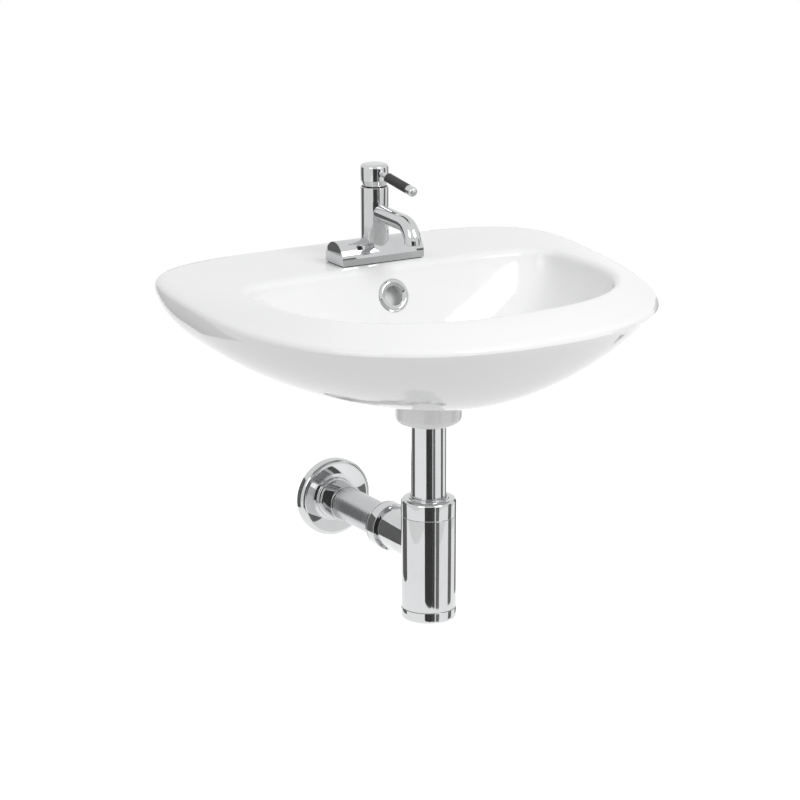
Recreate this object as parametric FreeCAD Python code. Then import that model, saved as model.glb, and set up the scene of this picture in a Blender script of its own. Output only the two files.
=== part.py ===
import FreeCAD, Part
import math
import os

# Wall hung basin with a lever tap, a slotted waste and a bottle trap, in millimetres.
# The wall is the plane Y = 0 and the room lies at negative Y.
# The origin is on the wall, midway between the two bolt holes of the basin.

# Ceramic basin, outside
basin_width = 500.0
basin_depth = 435.0
deck_height = 50.0          # deck above the line of the wall bolts
widest_from_wall = 135.0
wall_overlap = 8.0          # how far the plan outline would run past the wall if it were not cut
rim_fall = 15.0             # outer rim edge at the front, below the deck
rim_edge_round = 8.0
rim_crown = 1.3             # power of the slope from the rim edge up to the lip
front_roundness = 2.4       # powers of the plan outline: 2 is an ellipse, more is squarer
back_roundness = 3.5
belly_depth = 122.6         # deck down to the underside of the bowl
belly_side_power = (1.873, 1.556)
belly_front_power = (0.796, 2.718)
belly_back_power = (6.0, 2.0)

# Ceramic basin, bowl
rim_side_width = 62.0
rim_front_width = 57.0
deck_depth = 132.0          # wall to the back edge of the bowl
lip_round = 8.0
deck_lip_round = 14.0
bowl_depth = 108.0          # deck down to the floor of the bowl
bowl_widest_from_wall = 215.0
bowl_back_roundness = 5.0
bowl_side_power = (1.6, 1.9)
bowl_front_power = (1.2, 1.9)
bowl_back_power = (1.05, 1.4)
floor_land = 3.5            # flat ring of floor around the waste recess

# Ceramic basin, underside
ceramic_wall = 10.0
deck_thickness = 14.0
back_wall = 14.0
side_hollow_top = 30.0      # deck down to the roof of the hollow beside the bowl
hollow_from_wall = 300.0
service_width = 270.0       # opening under the deck that gives access to the tap
service_depth = 165.0
service_corner = 30.0
bolt_spacing = 200.0
bolt_hole_radius = 7.0

# Waste outlet of the basin
waste_from_wall = 211.0
boss_radius = 35.5
boss_depth = 154.0          # deck down to the foot of the boss
boss_edge_round = 8.0
boss_recess_radius = 30.0
seat_depth = 128.0          # deck down to the roof of the recess inside the boss
waste_hole_radius = 23.0
waste_recess_radius = 32.5
waste_recess_depth = 4.5

# Overflow
overflow_depth = 32.0       # deck down to the centre of the overflow
overflow_hole_radius = 11.5
overflow_seat_radius = 18.0
overflow_seat_depth = 1.0
overflow_trim_radius = 17.5
overflow_trim_thickness = 3.4
overflow_sleeve_length = 6.0
overflow_sleeve_wall = 0.9
overflow_trim_bead = 1.6
overflow_trim_crest = 0.6   # share of the way out from the sleeve to the edge
duct_half_width = 13.0
duct_levels = (20.0, 34.0, 52.0, 72.0, 92.0, 107.0)
duct_skin = 6.5             # bowl to the overflow passage
duct_room = 8.0
duct_wall = 5.0
duct_top = 20.0
duct_foot_top = 116.5
duct_foot_bottom = 123.5

# Tap
tap_from_wall = 100.0
tap_hole_radius = 17.5
base_length = 100.0
base_depth = 38.0
base_side_height = 5.0
base_gasket_thickness = 1.0
spigot_length = 12.0
column_radius = 15.0
column_height = 80.0        # above the deck
chamber_radius = 12.6
chamber_floor = 61.5
outlet_port_radius = 3.0
outlet_port_setback = 5.0   # from the tap axis towards the room
spigot_radius = 16.5
gasket_inset = 1.0
base_corner = 3.0
cap_recess_radius = 13.7
cap_recess_depth = 5.0
spout_radius = 9.0
spout_bore_radius = 5.5
spout_height = 53.5         # centre line above the deck, at the column
spout_slope = 2.4           # degrees by which the spout falls towards its bend
spout_reach = 79.0
spout_bend_radius = 20.0
outlet_height = 31.0
outlet_bore_radius = 8.0
outlet_bore_depth = 9.0
inlet_spacing = 16.4
inlet_radius = 2.2
inlet_port_radius = 4.4
inlet_port_depth = 12.0
stud_radius = 4.0
stud_setback = 11.5         # from the tap axis towards the wall
stud_length = 62.0
stud_grip = 10.0            # length of stud screwed into the tap
stud_slot = 1.2
stud_nut_flats = 13.0
stud_nut_height = 6.5
clamp_radius = 24.0
clamp_opening = 27.0
clamp_opening_back = 5.0
clamp_gasket_thickness = 2.0
clamp_thickness = 3.0
aerator_radius = 6.8
aerator_setback = 0.5
aerator_hole_radius = 1.0
aerator_holes = 6
aerator_circle = 3.9

# Tap cartridge and handle
collar_radius = 10.5
port_depth = 3.0
tip_pocket_radius = 9.0
tip_pocket_depth = 3.0
nut_bore_radius = 9.0
housing_wall = 1.5
nut_height = 2.0
collar_neck_radius = 8.1
collar_thickness = 2.0
collar_window = 8.6         # half length of the slot that the spindle swings in
fork_rise = 3.5
pivot_height = 84.0         # lever pivot above the deck
pivot_radius = 1.5
spindle_width = 6.0
spindle_drop = 16.0         # pivot down to the tip
spindle_grip = 6.0
cap_radius = 15.2
cap_foot_radius = 12.9
cap_foot_height = 81.0
cap_top_height = 104.0
cap_hollow_radius = 10.5
cap_hollow_height = 10.0
cap_shoulder = 6.0
cap_foot_round = 3.0
cap_barrel = 0.2
cap_widest = 0.6            # share of the height at which the barrel is widest
cap_barrel_round = 60.0
cap_top_round = 3.5
cap_dome = 0.6
grub_radius = 2.0
grub_length = 8.0
grub_height = 94.0          # grub screw above the deck
lever_drop = 7.5            # degrees below the horizontal
lever_root_height = 97.6    # lever axis above the deck, where it meets the column axis
lever_pin_radius = 3.0
lever_pin_start = 7.0       # from the column axis
lever_pin_setback = 1.0     # end of the pin inside the sleeve
lever_sleeve_radius = 5.2
lever_sleeve_start = 30.0
lever_sleeve_length = 42.0
lever_tip_length = 11.0
lever_tip_round = 3.5

# Waste fitting
flange_radius = 31.0
waste_thread_radius = 20.95
waste_bore_radius = 18.4
waste_tail_length = 8.0     # tail left below its nut
waste_seal_thickness = 2.2
seal_radius = 29.0
flange_thickness = 3.0
flange_dish = 1.6
flange_crest_radius = 29.0
flange_crest_round = 3.0
flange_edge = 1.2
slot_half_width = 6.0
bottom_seal_radius = 28.0
bottom_seal_thickness = 4.0
backnut_flats = 50.0
backnut_height = 7.0
plug_radius = 21.5
plug_thickness = 3.0
plug_dome = 1.2
plug_edge_round = 1.2
plug_travel = 8.0
plug_seat = 1.0             # plug seal closed, below the crest of the flange
plug_seal_thickness = 1.5
plug_seal_width = 2.5
plug_stem_radius = 4.0
plug_engaged = 14.0
click_radius = 6.5
click_length = 27.0
click_setback = 7.0         # foot of the click cartridge inside the tail
click_bar = 2.4
click_bar_height = 8.0

# Bottle trap
tube_radius = 19.0
tube_wall = 1.2
tube_dip = 44.0             # tube below the axis of the side outlet
tube_flange_thickness = 1.5
coupling_seal_thickness = 1.6
coupling_thread = 10.0
coupling_wall = 3.4
coupling_radius = 26.0
trap_radius = 29.7
trap_wall = 2.5
trap_top_depth = 235.0
collar_height = 20.5
collar_lip_radius = 21.8
collar_lip_height = 1.4
collar_round = 5.0
collar_roof = 5.0
collar_step = 0.2           # trap body inside the line of its nut and cup
trap_seal_height = 4.0
trap_neck_wall = 3.0
trap_cup_height = 12.0
trap_below_outlet = 79.0    # axis of the side outlet down to the foot of the trap
trap_neck_radius = 26.0
cup_thread = 12.0
cup_floor = 3.5
cup_round = 3.0
outlet_below_top = 56.0     # top of the trap down to the axis of its side outlet
stub_radius = 23.0
stub_end = 128.0            # wall to the end of the side outlet
outlet_nut_radius = 26.0
outlet_nut_length = 18.0
outlet_nut_wall = 3.0
outlet_nut_round = 1.5
outlet_seal_length = 5.0
outlet_bead = 4.0
outlet_groove = 0.8
pipe_into_trap = 150.0
pipe_into_wall = 35.0
pipe_mark_depth = 0.3       # ring rolled into the pipe to show how far it goes into the wall
pipe_mark_width = 1.0
rose_radius = 44.0
rose_thickness = 13.0
rose_rim_round = 4.5
rose_dish_radius = 27.0
rose_dish_depth = 8.0       # wall to the lowest ring of the dished face
rose_skin = 2.0
rose_bead_radius = 23.0
rose_bead_height = 12.0
rose_sleeve_radius = 20.6
rose_sleeve_length = 36.0

# Clearances
seam = 0.3                  # shadow gap between two outside parts that meet
slip = 0.1                  # radial room around a pushed-in part
running = 0.05              # radial room around a part that turns or slides

# Smoothness of the ceramic
ring_points = 48
hidden_points = 24
hidden_sides = 18           # flats round a washer or seal that is out of sight
turned_sides = 32           # flats round a turned part
turned_steps = 3            # points along the rounding of a turned part
tube_sides = 16             # flats round the spout
bend_shares = (0.2, 0.4, 0.6, 0.8)
nut_sides = 6

# Levels of the ceramic, as shares of each curve or as turns of each rounding in degrees
belly_shares = (1.0, 0.985, 0.95, 0.88, 0.78, 0.64, 0.48, 0.3, 0.14, 0.0)
rim_turns = (22.5, 45.0, 67.5)
rim_shares = (0.5,)
lip_turns = (0.0, 30.0, 60.0, 90.0)
bowl_shares = (0.2, 0.45, 0.68, 0.85, 0.96, 1.0)
hollow_shares = (1.0, 0.9, 0.72, 0.5, 0.25, 0.0)
core_shares = (0.0, 0.3, 0.6, 0.85, 1.0)

tiny = 0.0001               # least length that counts as an edge


def height(depth):
    """Z of a level given as a depth below the deck."""
    return deck_height - depth


def mix(start, end, share):
    return start + (end - start) * share


def eased(share):
    share = min(max(share, 0.0), 1.0)
    return share * share * (3.0 - 2.0 * share)


def rim_drop(from_wall):
    """How far the outer rim edge lies below the deck, which grows towards the front."""
    return rim_fall * eased(from_wall / (basin_depth - widest_from_wall))


def left_over(share, powers):
    """Share of the full width that is left at a share of the depth."""
    return max(1.0 - share ** powers[0], 0.0) ** (1.0 / powers[1])


def egg(half_width, front, back, middle, powers, count):
    """Plan points (x, distance from the wall) of an outline with a round nose and a squarer back."""
    points = []
    for index in range(count):
        angle = 2.0 * math.pi * index / count
        across = math.cos(angle)
        out = math.sin(angle)
        reach = front - middle if out > 0.0 else middle - back
        power = powers[0] if out > 0.0 else powers[1]
        radius = ((abs(across) / half_width) ** power + (abs(out) / reach) ** power) ** (-1.0 / power)
        points.append((radius * across, middle + radius * out))
    return points


def at_depths(plan, depths):
    return [FreeCAD.Vector(x, -from_wall, height(depth)) for (x, from_wall), depth in zip(plan, depths)]


def outer_outline(inset, count):
    return egg(basin_width / 2.0 - inset, basin_depth - inset, inset - wall_overlap,
               widest_from_wall, (front_roundness, back_roundness), count)


def belly_ring(share, inset, with_fall, count):
    """One level of the outside of the basin, from its rim (share 0) down to the boss (share 1)."""
    foot = boss_radius - boss_edge_round / 2.0
    side = mix(foot, basin_width / 2.0 - inset, left_over(share, belly_side_power))
    front = mix(waste_from_wall + foot, basin_depth - inset, left_over(share, belly_front_power))
    back = mix(waste_from_wall - foot, inset - wall_overlap, left_over(share, belly_back_power))
    middle = mix(widest_from_wall, waste_from_wall, share * share)
    powers = (mix(front_roundness, 2.0, share), mix(back_roundness, 2.0, share))
    depths = []
    for point in outer_outline(inset, count):
        fall = rim_drop(point[1]) if with_fall else 0.0
        depths.append(mix(fall + rim_edge_round, belly_depth - inset, share))
    return at_depths(egg(side, front, back, middle, powers, count), depths)


def rim_edge_ring(turn, count):
    inset = rim_edge_round * (1.0 - math.cos(math.radians(turn)))
    rise = rim_edge_round * (1.0 - math.sin(math.radians(turn)))
    depths = [rim_drop(point[1]) + rise for point in outer_outline(0.0, count)]
    return at_depths(outer_outline(inset, count), depths)


def lip_outline(side_grow, back_grow, count):
    return egg(basin_width / 2.0 - rim_side_width + side_grow, basin_depth - rim_front_width + side_grow,
               deck_depth - back_grow, bowl_widest_from_wall, (front_roundness, bowl_back_roundness), count)


def rim_top_ring(share, count):
    plan = []
    depths = []
    outer = outer_outline(rim_edge_round, count)
    inner = lip_outline(lip_round, deck_lip_round, count)
    for edge, start, end in zip(outer_outline(0.0, count), outer, inner):
        plan.append((mix(start[0], end[0], share), mix(start[1], end[1], share)))
        depths.append(rim_drop(edge[1]) * (1.0 - share) ** rim_crown)
    return at_depths(plan, depths)


def lip_ring(turn, count):
    left = 1.0 - math.sin(math.radians(turn))
    plan = lip_outline(lip_round * left, deck_lip_round * left, count)
    return at_depths(plan, [lip_round * (1.0 - math.cos(math.radians(turn)))] * count)


def bowl_back_at(depth, grow):
    """Distance from the wall of the back of the bowl at one depth, on the middle line."""
    share = (depth - lip_round) / (bowl_depth - lip_round)
    floor = waste_recess_radius + floor_land + grow
    return mix(waste_from_wall - floor, deck_depth - grow, left_over(share, bowl_back_power))


def bowl_ring(share, grow, count):
    """One level of the inside of the bowl, from the lip (share 0) down to the waste (share 1)."""
    floor = waste_recess_radius + floor_land + grow
    side = mix(floor, basin_width / 2.0 - rim_side_width + grow, left_over(share, bowl_side_power))
    front = mix(waste_from_wall + floor, basin_depth - rim_front_width + grow,
                left_over(share, bowl_front_power))
    back = mix(waste_from_wall - floor, deck_depth - grow, left_over(share, bowl_back_power))
    middle = mix(bowl_widest_from_wall, waste_from_wall, share)
    powers = (mix(front_roundness, 2.0, share), mix(bowl_back_roundness, 2.0, share))
    plan = egg(side, front, back, middle, powers, count)
    return at_depths(plan, [mix(lip_round, bowl_depth + grow, share)] * count)


def facet(corners):
    return Part.Face(Part.makePolygon(corners + [corners[0]]))


def solid_of(faces):
    shell = Part.makeShell(faces)
    shell.sewShape()
    solid = Part.makeSolid(shell)
    if solid.Volume < 0.0:
        solid.reverse()
    return solid


def skinned(rings):
    """Closed solid through a stack of closed rings, in flat facets as fine as the rings."""
    faces = [facet(rings[0]), facet(rings[-1])]
    for lower, upper in zip(rings, rings[1:]):
        for index in range(len(lower)):
            on = (index + 1) % len(lower)
            low, low_on, high, high_on = lower[index], lower[on], upper[index], upper[on]
            if low.distanceToPoint(high_on) < low_on.distanceToPoint(high):
                faces += [facet([low, low_on, high_on]), facet([low, high_on, high])]
            else:
                faces += [facet([low, low_on, high]), facet([low_on, high_on, high])]
    return solid_of(faces)


def basin_skin():
    rings = [belly_ring(share, 0.0, True, ring_points) for share in belly_shares]
    rings += [rim_edge_ring(turn, ring_points) for turn in rim_turns]
    rings += [rim_top_ring(share, ring_points) for share in rim_shares]
    rings += [lip_ring(turn, ring_points) for turn in lip_turns]
    rings += [bowl_ring(share, 0.0, ring_points) for share in bowl_shares]
    return skinned(rings)


def bowl_core():
    """The bowl with its wall, which the hollow underneath goes round."""
    rings = [bowl_ring(share, ceramic_wall, hidden_points) for share in reversed(core_shares)]
    roof = [FreeCAD.Vector(point.x, point.y, deck_height) for point in rings[-1]]
    return skinned(rings + [roof])


def block(half_width, near, far, top, bottom):
    """Box between two distances from the wall and two depths below the deck."""
    corner = FreeCAD.Vector(-half_width, -far, height(bottom))
    return Part.makeBox(2.0 * half_width, far - near, bottom - top, corner)


def rounded_edges(corners, closed):
    """Lines and arcs through (across, up, rounding) corners on the plane Y = 0."""
    points = [FreeCAD.Vector(corner[0], 0.0, corner[1]) for corner in corners]
    count = len(points)
    edges = []
    stops = []
    for index, corner in enumerate(corners):
        here = points[index]
        inner = closed or 0 < index < count - 1
        radius = corner[2] if len(corner) > 2 and inner else 0.0
        if radius == 0.0:
            stops.append((here, here))
            continue
        back = (points[index - 1] - here).normalize()
        on = (points[(index + 1) % count] - here).normalize()
        half = back.getAngle(on) / 2.0
        reach = radius / math.tan(half)
        middle = here + (back + on).normalize() * (radius / math.sin(half) - radius)
        stops.append((here + back * reach, here + on * reach))
        edges.append(Part.Arc(stops[-1][0], middle, stops[-1][1]).toShape())
    last = count if closed else count - 1
    for index in range(last):
        start = stops[index][1]
        end = stops[(index + 1) % count][0]
        if start.distanceToPoint(end) > tiny:
            edges.append(Part.LineSegment(start, end).toShape())
    return Part.Wire(Part.sortEdges(edges)[0])


def stepped(corners):
    """Corner points of a closed (radius, up, rounding) outline, each rounding in short steps."""
    points = []
    count = len(corners)
    for index, corner in enumerate(corners):
        here = FreeCAD.Vector(corner[0], 0.0, corner[1])
        radius = corner[2] if len(corner) > 2 else 0.0
        if radius == 0.0:
            points.append(here)
            continue
        before = corners[index - 1]
        after = corners[(index + 1) % count]
        back = (FreeCAD.Vector(before[0], 0.0, before[1]) - here).normalize()
        on = (FreeCAD.Vector(after[0], 0.0, after[1]) - here).normalize()
        half = back.getAngle(on) / 2.0
        reach = radius / math.tan(half)
        middle = here + (back + on).normalize() * (radius / math.sin(half) - radius)
        points += Part.Arc(here + back * reach, middle, here + on * reach).discretize(Number=turned_steps)
    return points


def turned(corners):
    """Solid turned about Z from a closed (radius, up, rounding) outline, with many flats round it."""
    outline = stepped(corners)
    faces = []
    axis = FreeCAD.Vector(0.0, 0.0, 1.0)
    for start, end in zip(outline, outline[1:] + outline[:1]):
        strip = [point for point in (start, end) if point.x > tiny]
        for side in range(turned_sides):
            here = FreeCAD.Rotation(axis, 360.0 * side / turned_sides)
            on = FreeCAD.Rotation(axis, 360.0 * (side + 1) / turned_sides)
            corners_here = [here.multVec(start), here.multVec(end)]
            corners_on = [on.multVec(point) for point in strip[::-1]]
            if len(strip) > 0:
                faces.append(facet(corners_here + corners_on))
    return solid_of(faces)


def slab(corners, bottom, top):
    """Level plate with a rounded (across, out, rounding) outline, between two heights."""
    wire = rounded_edges(corners, True)
    wire.rotate(FreeCAD.Vector(), FreeCAD.Vector(1.0, 0.0, 0.0), 90.0)
    wire.translate(FreeCAD.Vector(0.0, 0.0, bottom))
    return Part.Face(wire).extrude(FreeCAD.Vector(0.0, 0.0, top - bottom))


def oblong(half_width, near, far, corner):
    return [(-half_width, near, corner), (half_width, near, corner),
            (half_width, far, corner), (-half_width, far, corner)]


def polygon(across_flats, sides):
    radius = across_flats / 2.0 / math.cos(math.pi / sides)
    turns = [2.0 * math.pi * index / sides for index in range(sides)]
    return [(radius * math.cos(turn), radius * math.sin(turn)) for turn in turns]


def hidden_ring(outer, inner, bottom, top):
    """Upright ring of many flats, for a washer or seal that is out of sight."""
    flats = 2.0 * outer * math.cos(math.pi / hidden_sides)
    hole = slab(polygon(2.0 * inner, hidden_sides), bottom, top)
    return slab(polygon(flats, hidden_sides), bottom, top).cut(hole)


def between_flats(radius):
    """Clear radius inside a turned bore, whose flats lie a little within its corners."""
    return radius * math.cos(math.pi / turned_sides)


def clear_of_flats(radius):
    """Corner radius of a turned bore whose flats leave this radius clear."""
    return radius / math.cos(math.pi / turned_sides)


def flatted(radius, bottom, top, sides=turned_sides):
    """Upright bar with many flats round it, whose corners lie at the radius."""
    return slab(polygon(2.0 * radius * math.cos(math.pi / sides), sides), bottom, top)


def rod(radius, bottom, top, across=0.0, out=0.0):
    """Upright cylinder between two heights, out from its own axis."""
    return Part.makeCylinder(radius, top - bottom, FreeCAD.Vector(across, -out, bottom))


def ring(outer, inner, bottom, top):
    return turned([(inner, bottom), (outer, bottom), (outer, top), (inner, top)])


def below_deck(corners):
    """Outline whose second number is a depth below the deck, turned into a height."""
    return [(corner[0], height(corner[1])) + tuple(corner[2:]) for corner in corners]


def placed(shape, out, up=0.0):
    shape.translate(FreeCAD.Vector(0.0, -out, up))
    return shape


def laid_out(shape, tilt=0.0):
    """Turn an upright shape so that its top points into the room, tilted downwards."""
    shape.rotate(FreeCAD.Vector(), FreeCAD.Vector(1.0, 0.0, 0.0), 90.0 + tilt)
    return shape


def cut_all(shape, tools):
    for tool in tools:
        shape = shape.cut(tool)
    return shape


def side_profile(corners, half_width):
    """Bar with a rounded (distance from the wall, depth) outline, as seen from the side."""
    wire = rounded_edges(below_deck(corners), True)
    wire.rotate(FreeCAD.Vector(), FreeCAD.Vector(0.0, 0.0, 1.0), -90.0)
    wire.translate(FreeCAD.Vector(-half_width, 0.0, 0.0))
    return Part.Face(wire).extrude(FreeCAD.Vector(2.0 * half_width, 0.0, 0.0))


# Overflow passage behind the bowl, from the overflow hole down into the waste hole

def duct_outline(front_skin, back_skin, top, foot_top, foot_bottom):
    front = []
    back = []
    for depth in duct_levels:
        surface = bowl_back_at(depth, 0.0)
        front.append((surface - front_skin, depth))
        back.append((surface - back_skin, depth))
    front[0] = (front[0][0], top)
    back[0] = (back[0][0], top)
    end = waste_from_wall - waste_hole_radius / 2.0
    return front + [(end, foot_top), (end, foot_bottom)] + back[::-1]


def overflow_duct():
    inner = duct_skin + duct_room
    outline = duct_outline(duct_skin, inner, duct_top, duct_foot_top, duct_foot_bottom)
    return side_profile(outline, duct_half_width)


def overflow_duct_wall():
    outer = duct_skin + duct_room + duct_wall
    outline = duct_outline(0.0, outer, duct_top - duct_wall, duct_foot_top, seat_depth)
    return side_profile(outline, duct_half_width + duct_wall)


def overflow_tilt():
    """Degrees by which the back of the bowl leans, at the overflow."""
    step = overflow_hole_radius
    lower = bowl_back_at(overflow_depth + step, 0.0)
    upper = bowl_back_at(overflow_depth - step, 0.0)
    return math.degrees(math.atan2(lower - upper, 2.0 * step))


def at_overflow(shape):
    """Turn an upright shape to stand square out of the back of the bowl at the overflow."""
    laid_out(shape, -overflow_tilt())
    return placed(shape, bowl_back_at(overflow_depth, 0.0), height(overflow_depth))


# Ceramic basin

def basin_hollow():
    inside = skinned([belly_ring(share, ceramic_wall, False, hidden_points) for share in hollow_shares])
    under_deck = block(basin_width, back_wall, deck_depth - ceramic_wall, deck_thickness, boss_depth)
    beside_bowl = block(basin_width, back_wall, hollow_from_wall, side_hollow_top, boss_depth)
    hollow = inside.common(under_deck.fuse(beside_bowl))
    service = slab(oblong(service_width / 2.0, back_wall, service_depth, service_corner),
                   height(2.0 * boss_depth), height(side_hollow_top))
    hollow = hollow.fuse(service)
    boss_zone = rod(boss_radius + ceramic_wall, height(2.0 * boss_depth), deck_height, 0.0, waste_from_wall)
    return cut_all(hollow, [bowl_core(), overflow_duct_wall(), boss_zone])


def waste_boss():
    outline = [(0.0, bowl_depth + ceramic_wall), (boss_radius, bowl_depth + ceramic_wall),
               (boss_radius, boss_depth, boss_edge_round), (0.0, boss_depth)]
    return placed(turned(below_deck(outline)), waste_from_wall)


def waste_opening():
    """Everything that is cut on the axis of the waste, from the bowl floor to the foot of the boss."""
    recess = bowl_depth + waste_recess_depth
    outline = [(0.0, bowl_depth - waste_recess_depth), (waste_recess_radius, bowl_depth - waste_recess_depth),
               (waste_recess_radius, recess), (waste_hole_radius, recess), (waste_hole_radius, seat_depth),
               (boss_recess_radius, seat_depth), (boss_recess_radius, boss_depth + ceramic_wall),
               (0.0, boss_depth + ceramic_wall)]
    return placed(turned(below_deck(outline)), waste_from_wall)


def basin_body():
    beyond_wall = block(basin_width, -basin_depth, 0.0, -basin_depth, basin_depth)
    body = basin_skin().cut(beyond_wall)
    body = body.cut(basin_hollow())
    body = body.fuse(waste_boss())
    overflow_hole = rod(overflow_hole_radius, -duct_skin - duct_room / 2.0, duct_skin)
    overflow_seat = rod(overflow_seat_radius, -overflow_seat_depth, duct_skin)
    tap_hole = rod(tap_hole_radius, -deck_height, 2.0 * deck_height, 0.0, tap_from_wall)
    body = cut_all(body, [waste_opening(), overflow_duct(), at_overflow(overflow_hole),
                          at_overflow(overflow_seat), tap_hole])
    for side in (-1.0, 1.0):
        bolt_hole = laid_out(rod(bolt_hole_radius, 0.0, 2.0 * back_wall))
        bolt_hole.translate(FreeCAD.Vector(side * bolt_spacing / 2.0, back_wall / 2.0, 0.0))
        body = body.cut(bolt_hole)
    return body


def overflow_trim_ring():
    sleeve_outer = overflow_hole_radius - slip
    sleeve_inner = sleeve_outer - overflow_sleeve_wall
    top = overflow_trim_thickness
    outline = [(overflow_trim_radius, 0.0), (overflow_trim_radius, top / 2.0),
               (mix(sleeve_inner, overflow_trim_radius, overflow_trim_crest), top, overflow_trim_bead),
               (sleeve_inner, top / 2.0), (sleeve_inner, -overflow_sleeve_length),
               (sleeve_outer, -overflow_sleeve_length), (sleeve_outer, 0.0)]
    return at_overflow(placed(turned(outline), 0.0, -overflow_seat_depth))


# Tap body. Its outlines are drawn about the axis of the column, with heights above the deck.

def at_tap(shape):
    return placed(shape, tap_from_wall, deck_height)


def tap_outline(half_length, half_depth, corner):
    return oblong(half_length, -half_depth, half_depth, corner)


def spout_path(start):
    fall = math.tan(math.radians(spout_slope))
    bend = (spout_reach, spout_height - spout_reach * fall, spout_bend_radius)
    return rounded_edges([(start, spout_height - start * fall), bend, (spout_reach, outlet_height)], False)


def tube_along(path, radius):
    """Round tube along a path in the plane Y = 0, turned to run out from the wall."""
    rings = []
    for edge in path.OrderedEdges:
        straight = edge.Curve.TypeId == "Part::GeomLine"
        for share in (0.0, 1.0) if straight else bend_shares:
            place = mix(edge.FirstParameter, edge.LastParameter, share)
            centre = edge.valueAt(place)
            if not rings or centre.distanceToPoint(rings[-1][0]) > tiny:
                rings.append((centre, edge.tangentAt(place)))
    tube = skinned([section(centre, along, radius) for centre, along in rings])
    tube.rotate(FreeCAD.Vector(), FreeCAD.Vector(0.0, 0.0, 1.0), -90.0)
    return tube


def section(centre, along, radius):
    side = FreeCAD.Vector(0.0, 1.0, 0.0)
    up = side.cross(along)
    points = []
    for index in range(tube_sides):
        turn = 2.0 * math.pi * index / tube_sides
        points.append(centre + side * (radius * math.cos(turn)) + up * (radius * math.sin(turn)))
    return points


def tap_base():
    """Bar that lies across the deck, flat on its sides and half round on top."""
    half = base_depth / 2.0
    crown = base_gasket_thickness + base_side_height
    profile = Part.Wire([
        Part.LineSegment(FreeCAD.Vector(0.0, -half, base_gasket_thickness),
                         FreeCAD.Vector(0.0, half, base_gasket_thickness)).toShape(),
        Part.LineSegment(FreeCAD.Vector(0.0, half, base_gasket_thickness),
                         FreeCAD.Vector(0.0, half, crown)).toShape(),
        Part.Arc(FreeCAD.Vector(0.0, half, crown), FreeCAD.Vector(0.0, 0.0, crown + half),
                 FreeCAD.Vector(0.0, -half, crown)).toShape(),
        Part.LineSegment(FreeCAD.Vector(0.0, -half, crown),
                         FreeCAD.Vector(0.0, -half, base_gasket_thickness)).toShape()])
    bar = Part.Face(profile).extrude(FreeCAD.Vector(base_length, 0.0, 0.0))
    bar.translate(FreeCAD.Vector(-base_length / 2.0, 0.0, 0.0))
    return bar


def tap_body():
    body = tap_base().fuse(flatted(column_radius, base_gasket_thickness, column_height))
    body = body.fuse(tube_along(spout_path(0.0), spout_radius))
    body = body.fuse(flatted(spigot_radius, -spigot_length, base_gasket_thickness + base_side_height))
    seat = column_height - cap_recess_depth
    tools = [flatted(cap_recess_radius, seat, column_height + cap_recess_depth),
             flatted(chamber_radius, chamber_floor, column_height),
             tube_along(spout_path(-spout_bore_radius / 2.0), spout_bore_radius),
             rod(outlet_bore_radius, outlet_height - spout_radius, outlet_height + outlet_bore_depth,
                 0.0, spout_reach),
             rod(outlet_port_radius, spout_height, chamber_floor + tiny, 0.0, outlet_port_setback),
             rod(stud_radius, -spigot_length - tiny, stud_grip - spigot_length, 0.0, -stud_setback)]
    for side in (-1.0, 1.0):
        tools.append(rod(inlet_radius, -spigot_length, chamber_floor + tiny, side * inlet_spacing / 2.0))
        tools.append(rod(inlet_port_radius, -spigot_length - tiny, inlet_port_depth - spigot_length,
                         side * inlet_spacing / 2.0))
    return at_tap(cut_all(body, tools))


def tap_base_gasket():
    plate = slab(tap_outline(base_length / 2.0 - gasket_inset, base_depth / 2.0 - gasket_inset, base_corner),
                 0.0, base_gasket_thickness)
    return at_tap(plate.cut(rod(tap_hole_radius, -base_gasket_thickness, 2.0 * base_gasket_thickness)))


def tap_fixing_stud():
    top = stud_grip - spigot_length
    stud = rod(stud_radius, top - stud_length, top, 0.0, -stud_setback)
    slot = Part.makeBox(3.0 * stud_radius, stud_slot, 2.0 * stud_slot,
                        FreeCAD.Vector(-1.5 * stud_radius, stud_setback - stud_slot / 2.0,
                                       top - stud_length - stud_slot))
    return at_tap(stud.cut(slot))


def clamp_front():
    """Flat front of the clamp, just clear of the wall of the overflow passage."""
    passage = bowl_back_at(duct_top, 0.0) - duct_skin - duct_room - duct_wall
    return passage - tap_from_wall - seam


def horseshoe(bottom, top):
    """Round plate with a flat front, open in front for the supply tails."""
    plate = rod(clamp_radius, bottom, top)
    front = Part.makeBox(4.0 * clamp_radius, clamp_radius, top - bottom,
                         FreeCAD.Vector(-2.0 * clamp_radius, -clamp_front() - clamp_radius, bottom))
    opening = slab(oblong(clamp_opening / 2.0, -clamp_opening_back, 2.0 * clamp_radius, clamp_opening / 4.0),
                   bottom, top)
    hole = rod(stud_radius + slip, bottom, top, 0.0, -stud_setback)
    return at_tap(cut_all(plate, [front, opening, hole]))


def tap_clamp_gasket():
    return horseshoe(-deck_thickness - clamp_gasket_thickness, -deck_thickness)


def clamp_foot():
    return -deck_thickness - clamp_gasket_thickness - clamp_thickness


def tap_clamp_plate():
    return horseshoe(clamp_foot(), -deck_thickness - clamp_gasket_thickness)


def tap_fixing_nut():
    nut = slab(polygon(stud_nut_flats, nut_sides), clamp_foot() - stud_nut_height, clamp_foot())
    nut = nut.cut(rod(stud_radius + slip, clamp_foot() - 2.0 * stud_nut_height, deck_height))
    return placed(nut, tap_from_wall - stud_setback, deck_height)


def at_outlet(shape):
    return placed(shape, tap_from_wall + spout_reach, deck_height + outlet_height)


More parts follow.
